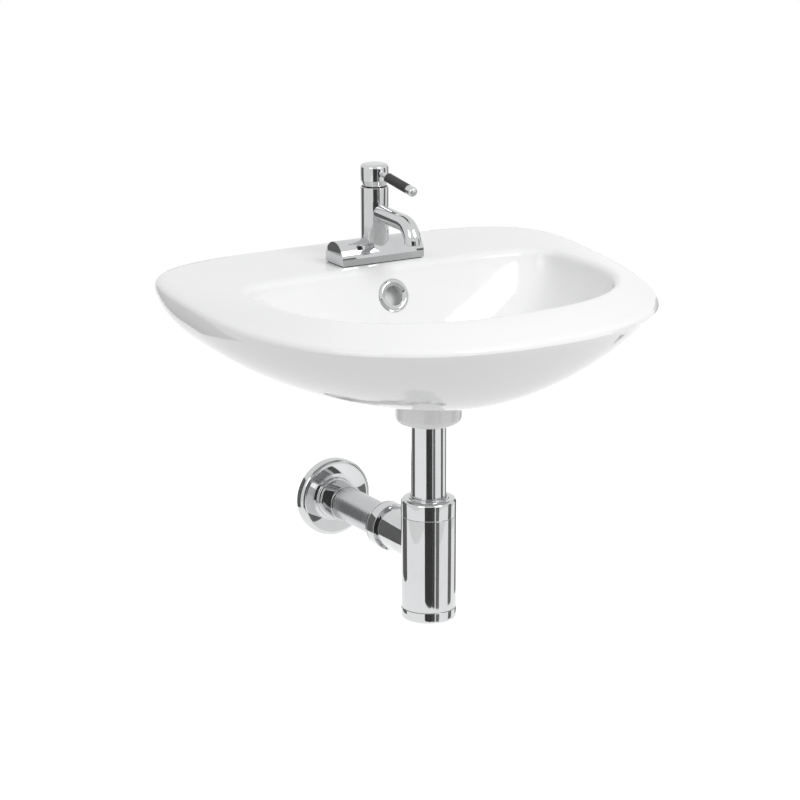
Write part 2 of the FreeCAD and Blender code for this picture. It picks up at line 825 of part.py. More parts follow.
def aerator():
    insert = flatted(outlet_bore_radius - slip, 0.0, outlet_bore_depth, hidden_sides)
    insert = insert.cut(flatted(aerator_radius, 0.0, aerator_setback, hidden_sides))
    holes = [flatted(aerator_hole_radius, 0.0, outlet_bore_depth, nut_sides)]
    for index in range(aerator_holes):
        turn = 2.0 * math.pi * index / aerator_holes
        hole = flatted(aerator_hole_radius, 0.0, outlet_bore_depth, nut_sides)
        hole.translate(FreeCAD.Vector(aerator_circle * math.cos(turn), aerator_circle * math.sin(turn), 0.0))
        holes.append(hole)
    return at_outlet(cut_all(insert, holes))


# Cartridge, a stack inside the column

def housing_top():
    return column_height - cap_recess_depth - nut_height


def collar_foot():
    return housing_top() - housing_wall - collar_thickness


def cartridge_housing():
    """Closed body of the cartridge, with its ports below and the seat of the collar above."""
    roof = housing_top() - housing_wall
    body = flatted(chamber_radius - slip, chamber_floor, housing_top())
    tools = [flatted(clear_of_flats(collar_radius + running), collar_foot() - running, roof),
             flatted(clear_of_flats(collar_neck_radius + running), roof, column_height),
             flatted(tip_pocket_radius, collar_foot() - tip_pocket_depth, roof),
             rod(outlet_port_radius, 0.0, chamber_floor + port_depth, 0.0, outlet_port_setback)]
    for side in (-1.0, 1.0):
        tools.append(rod(inlet_radius, 0.0, chamber_floor + port_depth, side * inlet_spacing / 2.0))
    return at_tap(cut_all(body, tools))


def cartridge_nut():
    bottom = housing_top()
    nut = flatted(chamber_radius - slip, bottom, bottom + nut_height)
    return at_tap(nut.cut(flatted(nut_bore_radius, bottom, bottom + nut_height)))


def cartridge_collar():
    """Part that turns with the handle and carries the pivot of the spindle in its fork."""
    roof = housing_top() - housing_wall
    collar = rod(collar_radius, collar_foot(), roof - running)
    collar = collar.fuse(rod(collar_neck_radius, collar_foot(), pivot_height + fork_rise))
    wide = spindle_width + 2.0 * slip
    slot = Part.makeBox(wide, 2.0 * collar_window, column_height,
                        FreeCAD.Vector(-wide / 2.0, -collar_window, chamber_floor))
    pin = Part.makeCylinder(pivot_radius, 4.0 * collar_neck_radius,
                            FreeCAD.Vector(-2.0 * collar_neck_radius, 0.0, pivot_height),
                            FreeCAD.Vector(1.0, 0.0, 0.0))
    return at_tap(cut_all(collar, [slot, pin]))


def spindle_pivot_pin():
    half = collar_neck_radius - slip
    pin = Part.makeCylinder(pivot_radius, 2.0 * half, FreeCAD.Vector(-half, 0.0, pivot_height),
                            FreeCAD.Vector(1.0, 0.0, 0.0))
    return at_tap(pin)


def spindle_top():
    return cap_foot_height + cap_hollow_height + spindle_grip


def cartridge_spindle():
    half = spindle_width / 2.0
    tip = pivot_height - spindle_drop
    bar = slab(oblong(half, -half, half, 0.0), tip, spindle_top())
    pin = Part.makeCylinder(pivot_radius + running, 2.0 * spindle_width,
                            FreeCAD.Vector(-spindle_width, 0.0, pivot_height), FreeCAD.Vector(1.0, 0.0, 0.0))
    return at_tap(bar.cut(pin))


# Handle, carried by the spindle

def on_lever(shape, along):
    """Move an upright shape out along the axis of the lever, which slopes into the room."""
    shape.translate(FreeCAD.Vector(0.0, 0.0, along))
    laid_out(shape, lever_drop)
    return placed(shape, tap_from_wall, deck_height + lever_root_height)


def handle_cap():
    ceiling = cap_foot_height + cap_hollow_height
    outline = [(cap_hollow_radius, cap_foot_height), (cap_foot_radius, cap_foot_height),
               (cap_radius - cap_barrel, cap_foot_height + cap_shoulder, cap_foot_round),
               (cap_radius, mix(cap_foot_height, cap_top_height, cap_widest), cap_barrel_round),
               (cap_radius - cap_barrel, cap_top_height, cap_top_round), (0.0, cap_top_height + cap_dome),
               (0.0, ceiling), (cap_hollow_radius, ceiling)]
    cap = at_tap(turned(outline))
    half = spindle_width / 2.0 + slip
    socket = at_tap(slab(oblong(half, -half, half, 0.0), ceiling - tiny, spindle_top() + slip))
    pin_hole = on_lever(rod(lever_pin_radius + slip, 0.0, cap_radius), lever_pin_start)
    screw_hole = laid_out(rod(grub_radius + slip, 0.0, 2.0 * cap_radius))
    screw_hole = placed(screw_hole, tap_from_wall - 2.0 * cap_radius, deck_height + grub_height)
    return cut_all(cap, [socket, pin_hole, screw_hole])


def handle_grub_screw():
    start = spindle_width / 2.0 + slip
    screw = rod(grub_radius, start, start + grub_length)
    key = slab(polygon(grub_radius, nut_sides), start + grub_length / 2.0, start + 2.0 * grub_length)
    screw = screw.cut(key)
    screw.rotate(FreeCAD.Vector(), FreeCAD.Vector(1.0, 0.0, 0.0), -90.0)
    return placed(screw, tap_from_wall, deck_height + grub_height)


def lever_pin():
    length = lever_sleeve_start + lever_sleeve_length - lever_pin_start - lever_pin_setback
    return on_lever(rod(lever_pin_radius, 0.0, length), lever_pin_start)


def lever_sleeve():
    sleeve = ring(lever_sleeve_radius, lever_pin_radius + slip, 0.0, lever_sleeve_length)
    return on_lever(sleeve, lever_sleeve_start)


def lever_end_cap():
    outline = [(0.0, 0.0), (lever_sleeve_radius, 0.0),
               (lever_sleeve_radius, lever_tip_length, lever_tip_round), (0.0, lever_tip_length)]
    return on_lever(turned(outline), lever_sleeve_start + lever_sleeve_length)


# Waste fitting. Its outlines are drawn about the axis of the waste, with depths below the deck.

def at_waste(corners):
    return placed(turned(below_deck(corners)), waste_from_wall)


def recess_floor():
    return bowl_depth + waste_recess_depth


def flange_foot():
    return recess_floor() - waste_seal_thickness


def tail_end():
    """Depth of the end of the threaded tail, which reaches through its nut."""
    return seat_depth + bottom_seal_thickness + backnut_height + waste_tail_length


def click_foot():
    return tail_end() - click_setback


def click_top():
    return click_foot() - click_length


def waste_body():
    top = flange_foot() - flange_thickness
    outline = [(waste_bore_radius, top + flange_dish), (flange_crest_radius, top, flange_crest_round),
               (flange_radius, flange_foot() - flange_edge), (flange_radius, flange_foot()),
               (waste_thread_radius, flange_foot()), (waste_thread_radius, tail_end()),
               (waste_bore_radius, tail_end())]
    body = at_waste(outline)
    return body.cut(placed(block(slot_half_width, -waste_bore_radius - waste_hole_radius,
                                 waste_bore_radius + waste_hole_radius, duct_foot_top, duct_foot_bottom),
                           waste_from_wall))


def waste_ring(outer, inner, top, foot):
    return placed(hidden_ring(outer, inner, height(foot), height(top)), waste_from_wall)


def waste_top_seal():
    return waste_ring(seal_radius, waste_thread_radius + slip, flange_foot(), recess_floor())


def waste_bottom_seal():
    return waste_ring(bottom_seal_radius, waste_thread_radius + slip, seat_depth,
                      seat_depth + bottom_seal_thickness)


def waste_backnut():
    top = height(seat_depth + bottom_seal_thickness)
    nut = slab(polygon(backnut_flats, nut_sides), top - backnut_height, top)
    hole = rod(waste_thread_radius + slip, top - 2.0 * backnut_height, top + backnut_height)
    return placed(nut.cut(hole), waste_from_wall)


def click_cartridge():
    """Catch of the plug, held in the tail of the waste by a cross of thin bars."""
    top = height(click_top())
    foot = height(click_foot())
    cartridge = rod(click_radius, foot, top)
    half = between_flats(waste_bore_radius) - slip
    for across, along in ((half, click_bar / 2.0), (click_bar / 2.0, half)):
        bar = Part.makeBox(2.0 * across, 2.0 * along, click_bar_height, FreeCAD.Vector(-across, -along, foot))
        cartridge = cartridge.fuse(bar)
    cartridge = cartridge.cut(rod(plug_stem_radius + running, foot, top))
    return placed(cartridge, waste_from_wall)


def plug_foot():
    """Depth of the underside of the open plug. It closes on the flange of the waste."""
    closed = flange_foot() - flange_thickness + plug_seat
    return closed - plug_travel - plug_seal_thickness


def waste_plug():
    foot = plug_foot()
    outline = [(0.0, foot - plug_thickness - plug_dome), (plug_radius, foot - plug_thickness, plug_edge_round),
               (plug_radius, foot), (plug_stem_radius, foot), (plug_stem_radius, click_top() + plug_engaged),
               (0.0, click_top() + plug_engaged)]
    return at_waste(outline)


def plug_seal():
    outer = plug_radius - plug_edge_round
    return waste_ring(outer, outer - plug_seal_width, plug_foot(), plug_foot() + plug_seal_thickness)


# Inlet of the trap

def tube_flange_top():
    return tail_end() + coupling_seal_thickness


def outlet_depth():
    return trap_top_depth + outlet_below_top


def tube_foot_depth():
    return outlet_depth() + tube_dip


def trap_foot_depth():
    return outlet_depth() + trap_below_outlet


def trap_seam_depth():
    return trap_foot_depth() - trap_cup_height


def inlet_coupling_seal():
    return waste_ring(waste_thread_radius, waste_bore_radius, tail_end(), tube_flange_top())


def inlet_coupling_nut():
    floor = tube_flange_top() + tube_flange_thickness
    inner = waste_thread_radius + slip
    outline = [(inner, floor), (inner, floor - coupling_thread), (coupling_radius, floor - coupling_thread),
               (coupling_radius, floor + coupling_wall), (tube_radius + slip, floor + coupling_wall),
               (tube_radius + slip, floor)]
    return at_waste(outline)


def inlet_tube():
    top = tube_flange_top()
    outline = [(tube_radius - tube_wall, top), (waste_thread_radius, top),
               (waste_thread_radius, top + tube_flange_thickness), (tube_radius, top + tube_flange_thickness),
               (tube_radius, tube_foot_depth()), (tube_radius - tube_wall, tube_foot_depth())]
    return at_waste(outline)


# Bottle trap

def trap_neck_top():
    return trap_top_depth + collar_lip_height + collar_roof + trap_seal_height


def trap_top_nut():
    lip = trap_top_depth + collar_lip_height
    foot = trap_top_depth + collar_height
    inner = clear_of_flats(trap_neck_radius + slip)
    outline = [(tube_radius + seam, trap_top_depth), (collar_lip_radius, trap_top_depth),
               (collar_lip_radius, lip), (trap_radius, lip, collar_round), (trap_radius, foot),
               (inner, foot), (inner, lip + collar_roof), (tube_radius + seam, lip + collar_roof)]
    return at_waste(outline)


def trap_inlet_seal():
    top = trap_top_depth + collar_lip_height + collar_roof
    return waste_ring(trap_neck_radius, tube_radius + slip, top, trap_neck_top())


def trap_outer_radius():
    return trap_radius - collar_step


def trap_body():
    top = trap_top_depth + collar_height + seam
    foot = trap_seam_depth() - seam
    outer = trap_outer_radius()
    inner = outer - trap_wall
    neck_inner = trap_neck_radius - trap_neck_wall
    outline = [(neck_inner, trap_neck_top()), (trap_neck_radius, trap_neck_top()), (trap_neck_radius, top),
               (outer, top), (outer, foot), (inner, foot), (inner, top + trap_wall),
               (neck_inner, top + trap_wall)]
    body = at_waste(outline)
    stub = laid_out(rod(stub_radius, stub_end, waste_from_wall)).cut(
        placed(rod(inner, -trap_foot_depth(), trap_foot_depth()), waste_from_wall))
    stub.translate(FreeCAD.Vector(0.0, 0.0, height(outlet_depth())))
    near_side = block(stub_radius, stub_end, waste_from_wall, outlet_depth() - stub_radius,
                      outlet_depth() + stub_radius)
    body = body.fuse(stub.common(near_side))
    socket = laid_out(rod(tube_radius + slip, stub_end - trap_wall, pipe_into_trap))
    passage = laid_out(rod(tube_radius - tube_wall, pipe_into_trap - trap_wall, waste_from_wall))
    for tool in (socket, passage):
        tool.translate(FreeCAD.Vector(0.0, 0.0, height(outlet_depth())))
        body = body.cut(tool)
    return body


def cup_spigot_radius():
    return between_flats(trap_outer_radius() - trap_wall) - running


def trap_cup_seal():
    return waste_ring(trap_outer_radius(), cup_spigot_radius(), trap_seam_depth() - seam, trap_seam_depth())


def trap_cup():
    spigot = cup_spigot_radius()
    inner = spigot - trap_wall
    top = trap_seam_depth() - cup_thread
    floor = trap_foot_depth() - cup_floor
    outline = [(inner, top), (spigot, top), (spigot, trap_seam_depth()), (trap_radius, trap_seam_depth()),
               (trap_radius, trap_foot_depth(), cup_round), (0.0, trap_foot_depth()), (0.0, floor),
               (inner, floor)]
    return at_waste(outline)


# Outlet of the trap. Its outlines are drawn as (radius, distance from the wall, rounding).

def at_trap_outlet(corners):
    shape = laid_out(turned(corners))
    shape.translate(FreeCAD.Vector(0.0, 0.0, height(outlet_depth())))
    return shape


def outlet_nut_front():
    return stub_end - outlet_seal_length - outlet_nut_wall


def outlet_nut():
    front = outlet_nut_front()
    back = front + outlet_nut_length
    inner = clear_of_flats(stub_radius + slip)
    groove = front + outlet_bead
    outline = [(tube_radius + seam, front), (outlet_nut_radius, front, outlet_nut_round),
               (outlet_nut_radius, groove), (outlet_nut_radius - outlet_groove, groove),
               (outlet_nut_radius - outlet_groove, groove + outlet_groove),
               (outlet_nut_radius, groove + outlet_groove), (outlet_nut_radius, back), (inner, back),
               (inner, front + outlet_nut_wall), (tube_radius + seam, front + outlet_nut_wall)]
    return at_trap_outlet(outline)


def outlet_seal():
    front = outlet_nut_front() + outlet_nut_wall
    seal = laid_out(hidden_ring(stub_radius, tube_radius + slip, front, stub_end))
    seal.translate(FreeCAD.Vector(0.0, 0.0, height(outlet_depth())))
    return seal


def waste_pipe():
    pipe = rod(tube_radius, -pipe_into_wall, pipe_into_trap)
    pipe = pipe.cut(rod(tube_radius - tube_wall, -pipe_into_wall, pipe_into_trap))
    mark = rod(tube_radius + slip, -pipe_mark_width / 2.0, pipe_mark_width / 2.0)
    mark = mark.cut(rod(tube_radius - pipe_mark_depth, -pipe_mark_width, pipe_mark_width))
    pipe = laid_out(pipe.cut(mark))
    pipe.translate(FreeCAD.Vector(0.0, 0.0, height(outlet_depth())))
    return pipe


def wall_rose():
    inner = clear_of_flats(tube_radius + slip)
    skin = rose_skin
    bead = rose_bead_radius
    outline = [(rose_radius - skin, 0.0), (rose_radius, 0.0), (rose_radius, rose_thickness, rose_rim_round),
               (rose_dish_radius, rose_dish_depth), (bead, rose_dish_depth), (bead, rose_bead_height),
               (rose_sleeve_radius, rose_bead_height), (rose_sleeve_radius, rose_sleeve_length),
               (inner, rose_sleeve_length), (inner, rose_dish_depth - skin),
               (rose_dish_radius, rose_dish_depth - skin), (rose_radius - rose_rim_round, rose_thickness - skin),
               (rose_radius - skin, rose_thickness - rose_rim_round)]
    return at_trap_outlet(outline)


nodes = (basin_body, overflow_trim_ring, tap_body, tap_base_gasket, tap_fixing_stud, tap_clamp_gasket,
         tap_clamp_plate, tap_fixing_nut, aerator, cartridge_housing, cartridge_nut,
         cartridge_collar, spindle_pivot_pin, cartridge_spindle, handle_cap, handle_grub_screw, lever_pin,
         lever_sleeve, lever_end_cap, waste_body, waste_top_seal, waste_bottom_seal, waste_backnut,
         click_cartridge, waste_plug, plug_seal, inlet_coupling_seal, inlet_coupling_nut, inlet_tube,
         trap_top_nut, trap_inlet_seal, trap_body, trap_cup_seal, trap_cup, outlet_nut, outlet_seal,
         waste_pipe, wall_rose)

os.makedirs("parts", exist_ok=True)
for node in nodes:
    shape = node()
    shape.exportStep("parts/" + node.__name__ + ".step")
    print(node.__name__, shape.isValid(), len(shape.Solids), round(shape.Volume))
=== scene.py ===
import math
import bmesh
import bpy
from mathutils import Matrix, Vector


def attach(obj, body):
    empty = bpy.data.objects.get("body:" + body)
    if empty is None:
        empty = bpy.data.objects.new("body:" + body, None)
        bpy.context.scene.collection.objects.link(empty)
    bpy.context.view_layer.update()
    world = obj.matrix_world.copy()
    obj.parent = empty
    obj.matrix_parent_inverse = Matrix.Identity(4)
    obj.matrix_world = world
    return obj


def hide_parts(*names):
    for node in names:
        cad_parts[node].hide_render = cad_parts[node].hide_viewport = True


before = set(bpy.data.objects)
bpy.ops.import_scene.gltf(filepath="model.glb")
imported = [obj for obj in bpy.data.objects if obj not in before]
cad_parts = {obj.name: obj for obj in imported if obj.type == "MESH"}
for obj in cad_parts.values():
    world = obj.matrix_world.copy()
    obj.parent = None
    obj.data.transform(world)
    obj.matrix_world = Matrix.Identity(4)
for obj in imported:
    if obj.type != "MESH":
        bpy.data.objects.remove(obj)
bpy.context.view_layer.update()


# The ceramic basin is slip cast in one piece of vitreous china under a thick white glaze. It is
# hollow beside and behind the bowl, open from below at the wall, and hangs on two wall bolts.

MM = 0.001
deck_height = 50.0
basin_width = 500.0
basin_depth = 435.0
widest_from_wall = 135.0
wall_overlap = 8.0
rim_fall = 15.0
rim_edge_round = 8.0
rim_crown = 1.3
front_roundness = 2.4
back_roundness = 3.5
belly_depth = 122.6
belly_powers = {"side": (1.873, 1.556), "front": (0.796, 2.718), "back": (6.0, 2.0)}
rim_side_width = 62.0
rim_front_width = 57.0
deck_depth = 132.0
lip_round = 8.0
deck_lip_round = 14.0
bowl_depth = 108.0
bowl_widest_from_wall = 215.0
bowl_back_roundness = 5.0
bowl_powers = {"side": (1.6, 1.9), "front": (1.2, 1.9), "back": (1.05, 1.4)}
bowl_floor_radius = 36.0
ceramic_wall = 10.0
waste_from_wall = 211.0
boss_radius = 35.5
boss_edge_round = 8.0
boss_depth = 154.0


def height(depth):
    """Height in the frame of a level given as a depth below the deck, in millimetres."""
    return deck_height - depth


def mix(start, end, share):
    return start + (end - start) * share


def eased(share):
    share = min(max(share, 0.0), 1.0)
    return share * share * (3.0 - 2.0 * share)


def rim_drop(from_wall):
    return rim_fall * eased(from_wall / (basin_depth - widest_from_wall))


def left_over(share, powers):
    return max(1.0 - share ** powers[0], 0.0) ** (1.0 / powers[1])


def egg(half_width, front, back, middle, powers, count):
    """Plan points (x, distance from the wall) of a round-nosed outline with a squarer back."""
    points = []
    for index in range(count):
        angle = 2.0 * math.pi * index / count
        across, out = math.cos(angle), math.sin(angle)
        reach = front - middle if out > 0.0 else middle - back
        power = powers[0] if out > 0.0 else powers[1]
        radius = ((abs(across) / half_width) ** power + (abs(out) / reach) ** power) ** (-1.0 / power)
        points.append((radius * across, middle + radius * out))
    return points


def at_depths(plan, depths):
    return [Vector((x, -out, height(depth))) * MM for (x, out), depth in zip(plan, depths)]


def outer_outline(inset, count):
    return egg(basin_width / 2.0 - inset, basin_depth - inset, inset - wall_overlap,
               widest_from_wall, (front_roundness, back_roundness), count)


def belly_ring(share, inset, with_fall, count):
    """One level of the outside, from the rim (share 0) down to the boss (share 1)."""
    foot = boss_radius - boss_edge_round / 2.0
    side = mix(foot, basin_width / 2.0 - inset, left_over(share, belly_powers["side"]))
    front = mix(waste_from_wall + foot, basin_depth - inset, left_over(share, belly_powers["front"]))
    back = mix(waste_from_wall - foot, inset - wall_overlap, left_over(share, belly_powers["back"]))
    middle = mix(widest_from_wall, waste_from_wall, share * share)
    powers = (mix(front_roundness, 2.0, share), mix(back_roundness, 2.0, share))
    falls = [rim_drop(out) if with_fall else 0.0 for _, out in outer_outline(inset, count)]
    depths = [mix(fall + rim_edge_round, belly_depth - inset, share) for fall in falls]
    return at_depths(egg(side, front, back, middle, powers, count), depths)


def rim_edge_ring(turn, count):
    inset = rim_edge_round * (1.0 - math.cos(turn))
    rise = rim_edge_round * (1.0 - math.sin(turn))
    depths = [rim_drop(out) + rise for _, out in outer_outline(0.0, count)]
    return at_depths(outer_outline(inset, count), depths)


def lip_outline(side_grow, back_grow, count):
    return egg(basin_width / 2.0 - rim_side_width + side_grow, basin_depth - rim_front_width + side_grow,
               deck_depth - back_grow, bowl_widest_from_wall, (front_roundness, bowl_back_roundness), count)


def rim_top_ring(share, count):
    plan, depths = [], []
    outer = outer_outline(rim_edge_round, count)
    inner = lip_outline(lip_round, deck_lip_round, count)
    for (_, out), start, end in zip(outer_outline(0.0, count), outer, inner):
        plan.append((mix(start[0], end[0], share), mix(start[1], end[1], share)))
        depths.append(rim_drop(out) * (1.0 - share) ** rim_crown)
    return at_depths(plan, depths)


def lip_ring(turn, count):
    left = 1.0 - math.sin(turn)
    plan = lip_outline(lip_round * left, deck_lip_round * left, count)
    return at_depths(plan, [lip_round * (1.0 - math.cos(turn))] * count)


def bowl_ring(share, grow, count):
    """One level of the inside, from the lip (share 0) down to the waste (share 1)."""
    floor = bowl_floor_radius + grow
    side = mix(floor, basin_width / 2.0 - rim_side_width + grow, left_over(share, bowl_powers["side"]))
    front = mix(waste_from_wall + floor, basin_depth - rim_front_width + grow,
                left_over(share, bowl_powers["front"]))
    back = mix(waste_from_wall - floor, deck_depth - grow, left_over(share, bowl_powers["back"]))
    middle = mix(bowl_widest_from_wall, waste_from_wall, share)
    powers = (mix(front_roundness, 2.0, share), mix(bowl_back_roundness, 2.0, share))
    plan = egg(side, front, back, middle, powers, count)
    return at_depths(plan, [mix(lip_round, bowl_depth + grow, share)] * count)


def bowl_back_at(depth):
    share = (depth - lip_round) / (bowl_depth - lip_round)
    return mix(waste_from_wall - bowl_floor_radius, deck_depth, left_over(share, bowl_powers["back"]))


def new_object(name, form):
    mesh = bpy.data.meshes.new(name)
    bmesh.ops.recalc_face_normals(form, faces=form.faces)
    form.to_mesh(mesh)
    form.free()
    made = bpy.data.objects.new(name, mesh)
    bpy.context.scene.collection.objects.link(made)
    return made


def skinned(name, rings):
    """Closed skin through a stack of closed rings."""
    form = bmesh.new()
    rows = [[form.verts.new(point) for point in ring] for ring in rings]
    for lower, upper in zip(rows, rows[1:]):
        for index in range(len(lower)):
            on = (index + 1) % len(lower)
            form.faces.new((lower[index], lower[on], upper[on], upper[index]))
    form.faces.new(rows[0])
    form.faces.new(rows[-1])
    return new_object(name, form)


def rounded(corners, steps, closed=True):
    """Points of an (across, up, rounding) outline, each rounding as a fine arc."""
    points = []
    count = len(corners)
    for index, corner in enumerate(corners):
        here = Vector(corner[:2])
        inner = closed or 0 < index < count - 1
        if len(corner) < 3 or not inner:
            points.append(here)
            continue
        back = (Vector(corners[index - 1][:2]) - here).normalized()
        on = (Vector(corners[(index + 1) % count][:2]) - here).normalized()
        half = back.angle(on) / 2.0
        reach = corner[2] / math.tan(half)
        middle = here + (back + on).normalized() * (corner[2] / math.sin(half))
        first, last = here + back * reach - middle, here + on * reach - middle
        for step in range(steps + 1):
            points.append(middle + first.slerp(last, step / steps).normalized() * corner[2])
    return points


def around_axis(radius, up, sides):
    """One level of a turned piece, or its single point where it meets the axis."""
    if radius < 1e-6:
        return [Vector((0.0, 0.0, up))]
    turns = [2.0 * math.pi * side / sides for side in range(sides)]
    return [Vector((radius * math.cos(turn), radius * math.sin(turn), up)) for turn in turns]


def turned_rows(corners, sides=96, steps=6, closed=True):
    return [around_axis(radius, up, sides) for radius, up in rounded(corners, steps, closed)]


def woven(name, rows, place=Matrix()):
    """Closed skin over a loop of levels round an axis, each a ring or a single point."""
    form = bmesh.new()
    rings = [[form.verts.new(point) for point in row] for row in rows]
    sides = max(len(ring) for ring in rings)
    for start, end in zip(rings, rings[1:] + rings[:1]):
        for side in range(sides):
            on = (side + 1) % sides
            corners = [start[side % len(start)], start[on % len(start)],
                       end[on % len(end)], end[side % len(end)]]
            corners = list(dict.fromkeys(corners))
            if len(corners) > 2:
                form.faces.new(corners)
    form.transform(place @ Matrix.Scale(MM, 4))
    return new_object(name, form)


def lathe(name, corners, sides=96, steps=6, place=Matrix()):
    """Piece turned about its own upright axis from a closed (radius, up, rounding) outline."""
    return woven(name, turned_rows(corners, sides, steps), place)


def prism(name, outline, start, end, place=Matrix()):
    """Piece with one closed outline, drawn upright between two heights."""
    form = bmesh.new()
    low = [form.verts.new((point[0], point[1], start)) for point in outline]
    high = [form.verts.new((point[0], point[1], end)) for point in outline]
    form.faces.new(low)
    form.faces.new(high)
    for index in range(len(outline)):
        on = (index + 1) % len(outline)
        form.faces.new((low[index], low[on], high[on], high[index]))
    form.transform(place @ Matrix.Scale(MM, 4))
    return new_object(name, form)


def block(name, half_width, near, far, top, bottom):
    corners = [(-half_width, -far), (half_width, -far), (half_width, -near), (-half_width, -near)]
    return prism(name, corners, height(bottom), height(top))


def turned_at(name, corners, out, sides=96, steps=6):
    """Turned piece on an upright axis, some way out from the wall."""
    return lathe(name, corners, sides, steps, Matrix.Translation(Vector((0.0, -out, 0.0)) * MM))


def below_deck(corners):
    return [(corner[0], height(corner[1])) + tuple(corner[2:]) for corner in corners]


def combine(target, tools, operation):
    """Joins the tools to the target or cuts them out of it, and leaves one clean mesh."""
    group = bpy.data.collections.new("tools")
    bpy.context.scene.collection.children.link(group)
    for tool in tools:
        group.objects.link(tool)
    change = target.modifiers.new("change", "BOOLEAN")
    change.operation = operation
    change.solver = "EXACT"
    change.operand_type = "COLLECTION"
    change.collection = group
    view = bpy.context.evaluated_depsgraph_get()
    result = bpy.data.meshes.new_from_object(target.evaluated_get(view))
    target.modifiers.remove(change)
    target.data = result
    for tool in tools:
        bpy.data.objects.remove(tool)
    bpy.data.collections.remove(group)
    return target


def steps_of(count):
    return [index / count for index in range(count + 1)]


def levels_of(count):
    """Shares from 0 to 1 that come closer together towards the end."""
    return [math.sin(quarter * share) for share in steps_of(count)]


def rounded_box(half_width, front, back, rounding, steps):
    """Outline, seen from above, of a box with its upright edges rounded."""
    return rounded([(-half_width, front, rounding), (half_width, front, rounding),
                    (half_width, back, rounding), (-half_width, back, rounding)], steps)


around, hidden_around = 160, 64
quarter = math.pi / 2.0
rings = [belly_ring(share, 0.0, True, around) for share in reversed(levels_of(30))]
rings += [rim_edge_ring(math.radians(turn), around) for turn in (15.0, 30.0, 45.0, 60.0)]
rings += [rim_top_ring(share, around) for share in steps_of(14)[1:-1]]
rings += [lip_ring(quarter * share, around) for share in steps_of(8)]
rings += [bowl_ring(share, 0.0, around) for share in levels_of(30)[1:]]
basin = skinned("basin_china", rings)

back_wall, deck_thickness = 14.0, 14.0
side_hollow_top, side_hollow_front = 30.0, 300.0
service_half_width, service_front, service_round = 135.0, 165.0, 30.0
hollow = skinned("hollow", [belly_ring(share, ceramic_wall, False, hidden_around)
                            for share in reversed(levels_of(10))])
under_deck = block("under_deck", basin_width, back_wall, deck_depth - ceramic_wall,
                   deck_thickness, boss_depth)
beside_bowl = block("beside_bowl", basin_width, back_wall, side_hollow_front, side_hollow_top, boss_depth)
hollow = combine(hollow, [combine(under_deck, [beside_bowl], "UNION")], "INTERSECT")
service = prism("service", rounded_box(service_half_width, -service_front, -back_wall, service_round, 8),
                height(2.0 * boss_depth), height(side_hollow_top))
hollow = combine(hollow, [service], "UNION")
core_rings = [bowl_ring(share, ceramic_wall, hidden_around) for share in reversed(levels_of(8))]
core_rings.append([Vector((point.x, point.y, deck_height * MM)) for point in core_rings[-1]])
passage_half_width, passage_front, passage_back, passage_wall = 13.0, 6.5, 14.5, 5.0
passage_top, passage_foot_top, passage_foot, passage_end = 20.0, 116.5, 123.5, 199.5
duct_levels = (passage_top, 34.0, 52.0, 72.0, 92.0, 107.0)


def duct(name, half_width, front_skin, back_skin, top, foot):
    """Passage behind the bowl, from the overflow hole down to the waste."""
    front = [(bowl_back_at(depth) - front_skin, depth) for depth in duct_levels]
    back = [(bowl_back_at(depth) - back_skin, depth) for depth in duct_levels]
    front[0], back[0] = (front[0][0], top), (back[0][0], top)
    outline = front + [(passage_end, passage_foot_top), (passage_end, foot)] + back[::-1]
    sideways = Matrix(((0.0, 0.0, 1.0), (-1.0, 0.0, 0.0), (0.0, 1.0, 0.0))).to_4x4()
    return prism(name, [(out, height(depth)) for out, depth in outline], -half_width, half_width, sideways)


def rod_corners(radius, bottom, top):
    return [(0.0, bottom), (radius, bottom), (radius, top), (0.0, top)]


seat_depth = 128.0
boss_zone = rod_corners(boss_radius + ceramic_wall, height(2.0 * boss_depth), deck_height)
keep_solid = [skinned("core", core_rings),
              duct("duct_wall", passage_half_width + passage_wall, 0.0, passage_back + passage_wall,
                   passage_top - passage_wall, seat_depth),
              turned_at("boss_zone", boss_zone, waste_from_wall)]
hollow = combine(hollow, keep_solid, "DIFFERENCE")
boss_root = bowl_depth + ceramic_wall
boss_corners = [(0.0, boss_root), (boss_radius, boss_root), (boss_radius, boss_depth, boss_edge_round),
                (0.0, boss_depth)]
boss = turned_at("boss", below_deck(boss_corners), waste_from_wall)
recess_floor = 112.5
recess_radius, waste_hole_radius, seat_radius = 32.5, 23.0, 30.0
recess_top, seat_foot = bowl_depth - 4.5, boss_depth + 10.0
waste_corners = [(0.0, recess_top), (recess_radius, recess_top), (recess_radius, recess_floor),
                 (waste_hole_radius, recess_floor), (waste_hole_radius, seat_depth),
                 (seat_radius, seat_depth), (seat_radius, seat_foot), (0.0, seat_foot)]
waste_cut = turned_at("waste_cut", below_deck(waste_corners), waste_from_wall)
overflow_depth, overflow_radius, overflow_seat_radius = 32.0, 11.5, 18.0
overflow_sink, overflow_cut_start, overflow_cut_end = 1.0, -10.5, 6.5
overflow_slope = (bowl_back_at(overflow_depth + overflow_radius)
                  - bowl_back_at(overflow_depth - overflow_radius))
overflow_lean = math.atan2(overflow_slope, 2.0 * overflow_radius)
overflow_middle = Vector((0.0, -bowl_back_at(overflow_depth), height(overflow_depth))) * MM
overflow_place = Matrix.Translation(overflow_middle) @ Matrix.Rotation(quarter - overflow_lean, 4, "X")
into_room = Matrix.Rotation(quarter, 4, "X")
tap_from_wall, tap_hole_radius = 100.0, 17.5
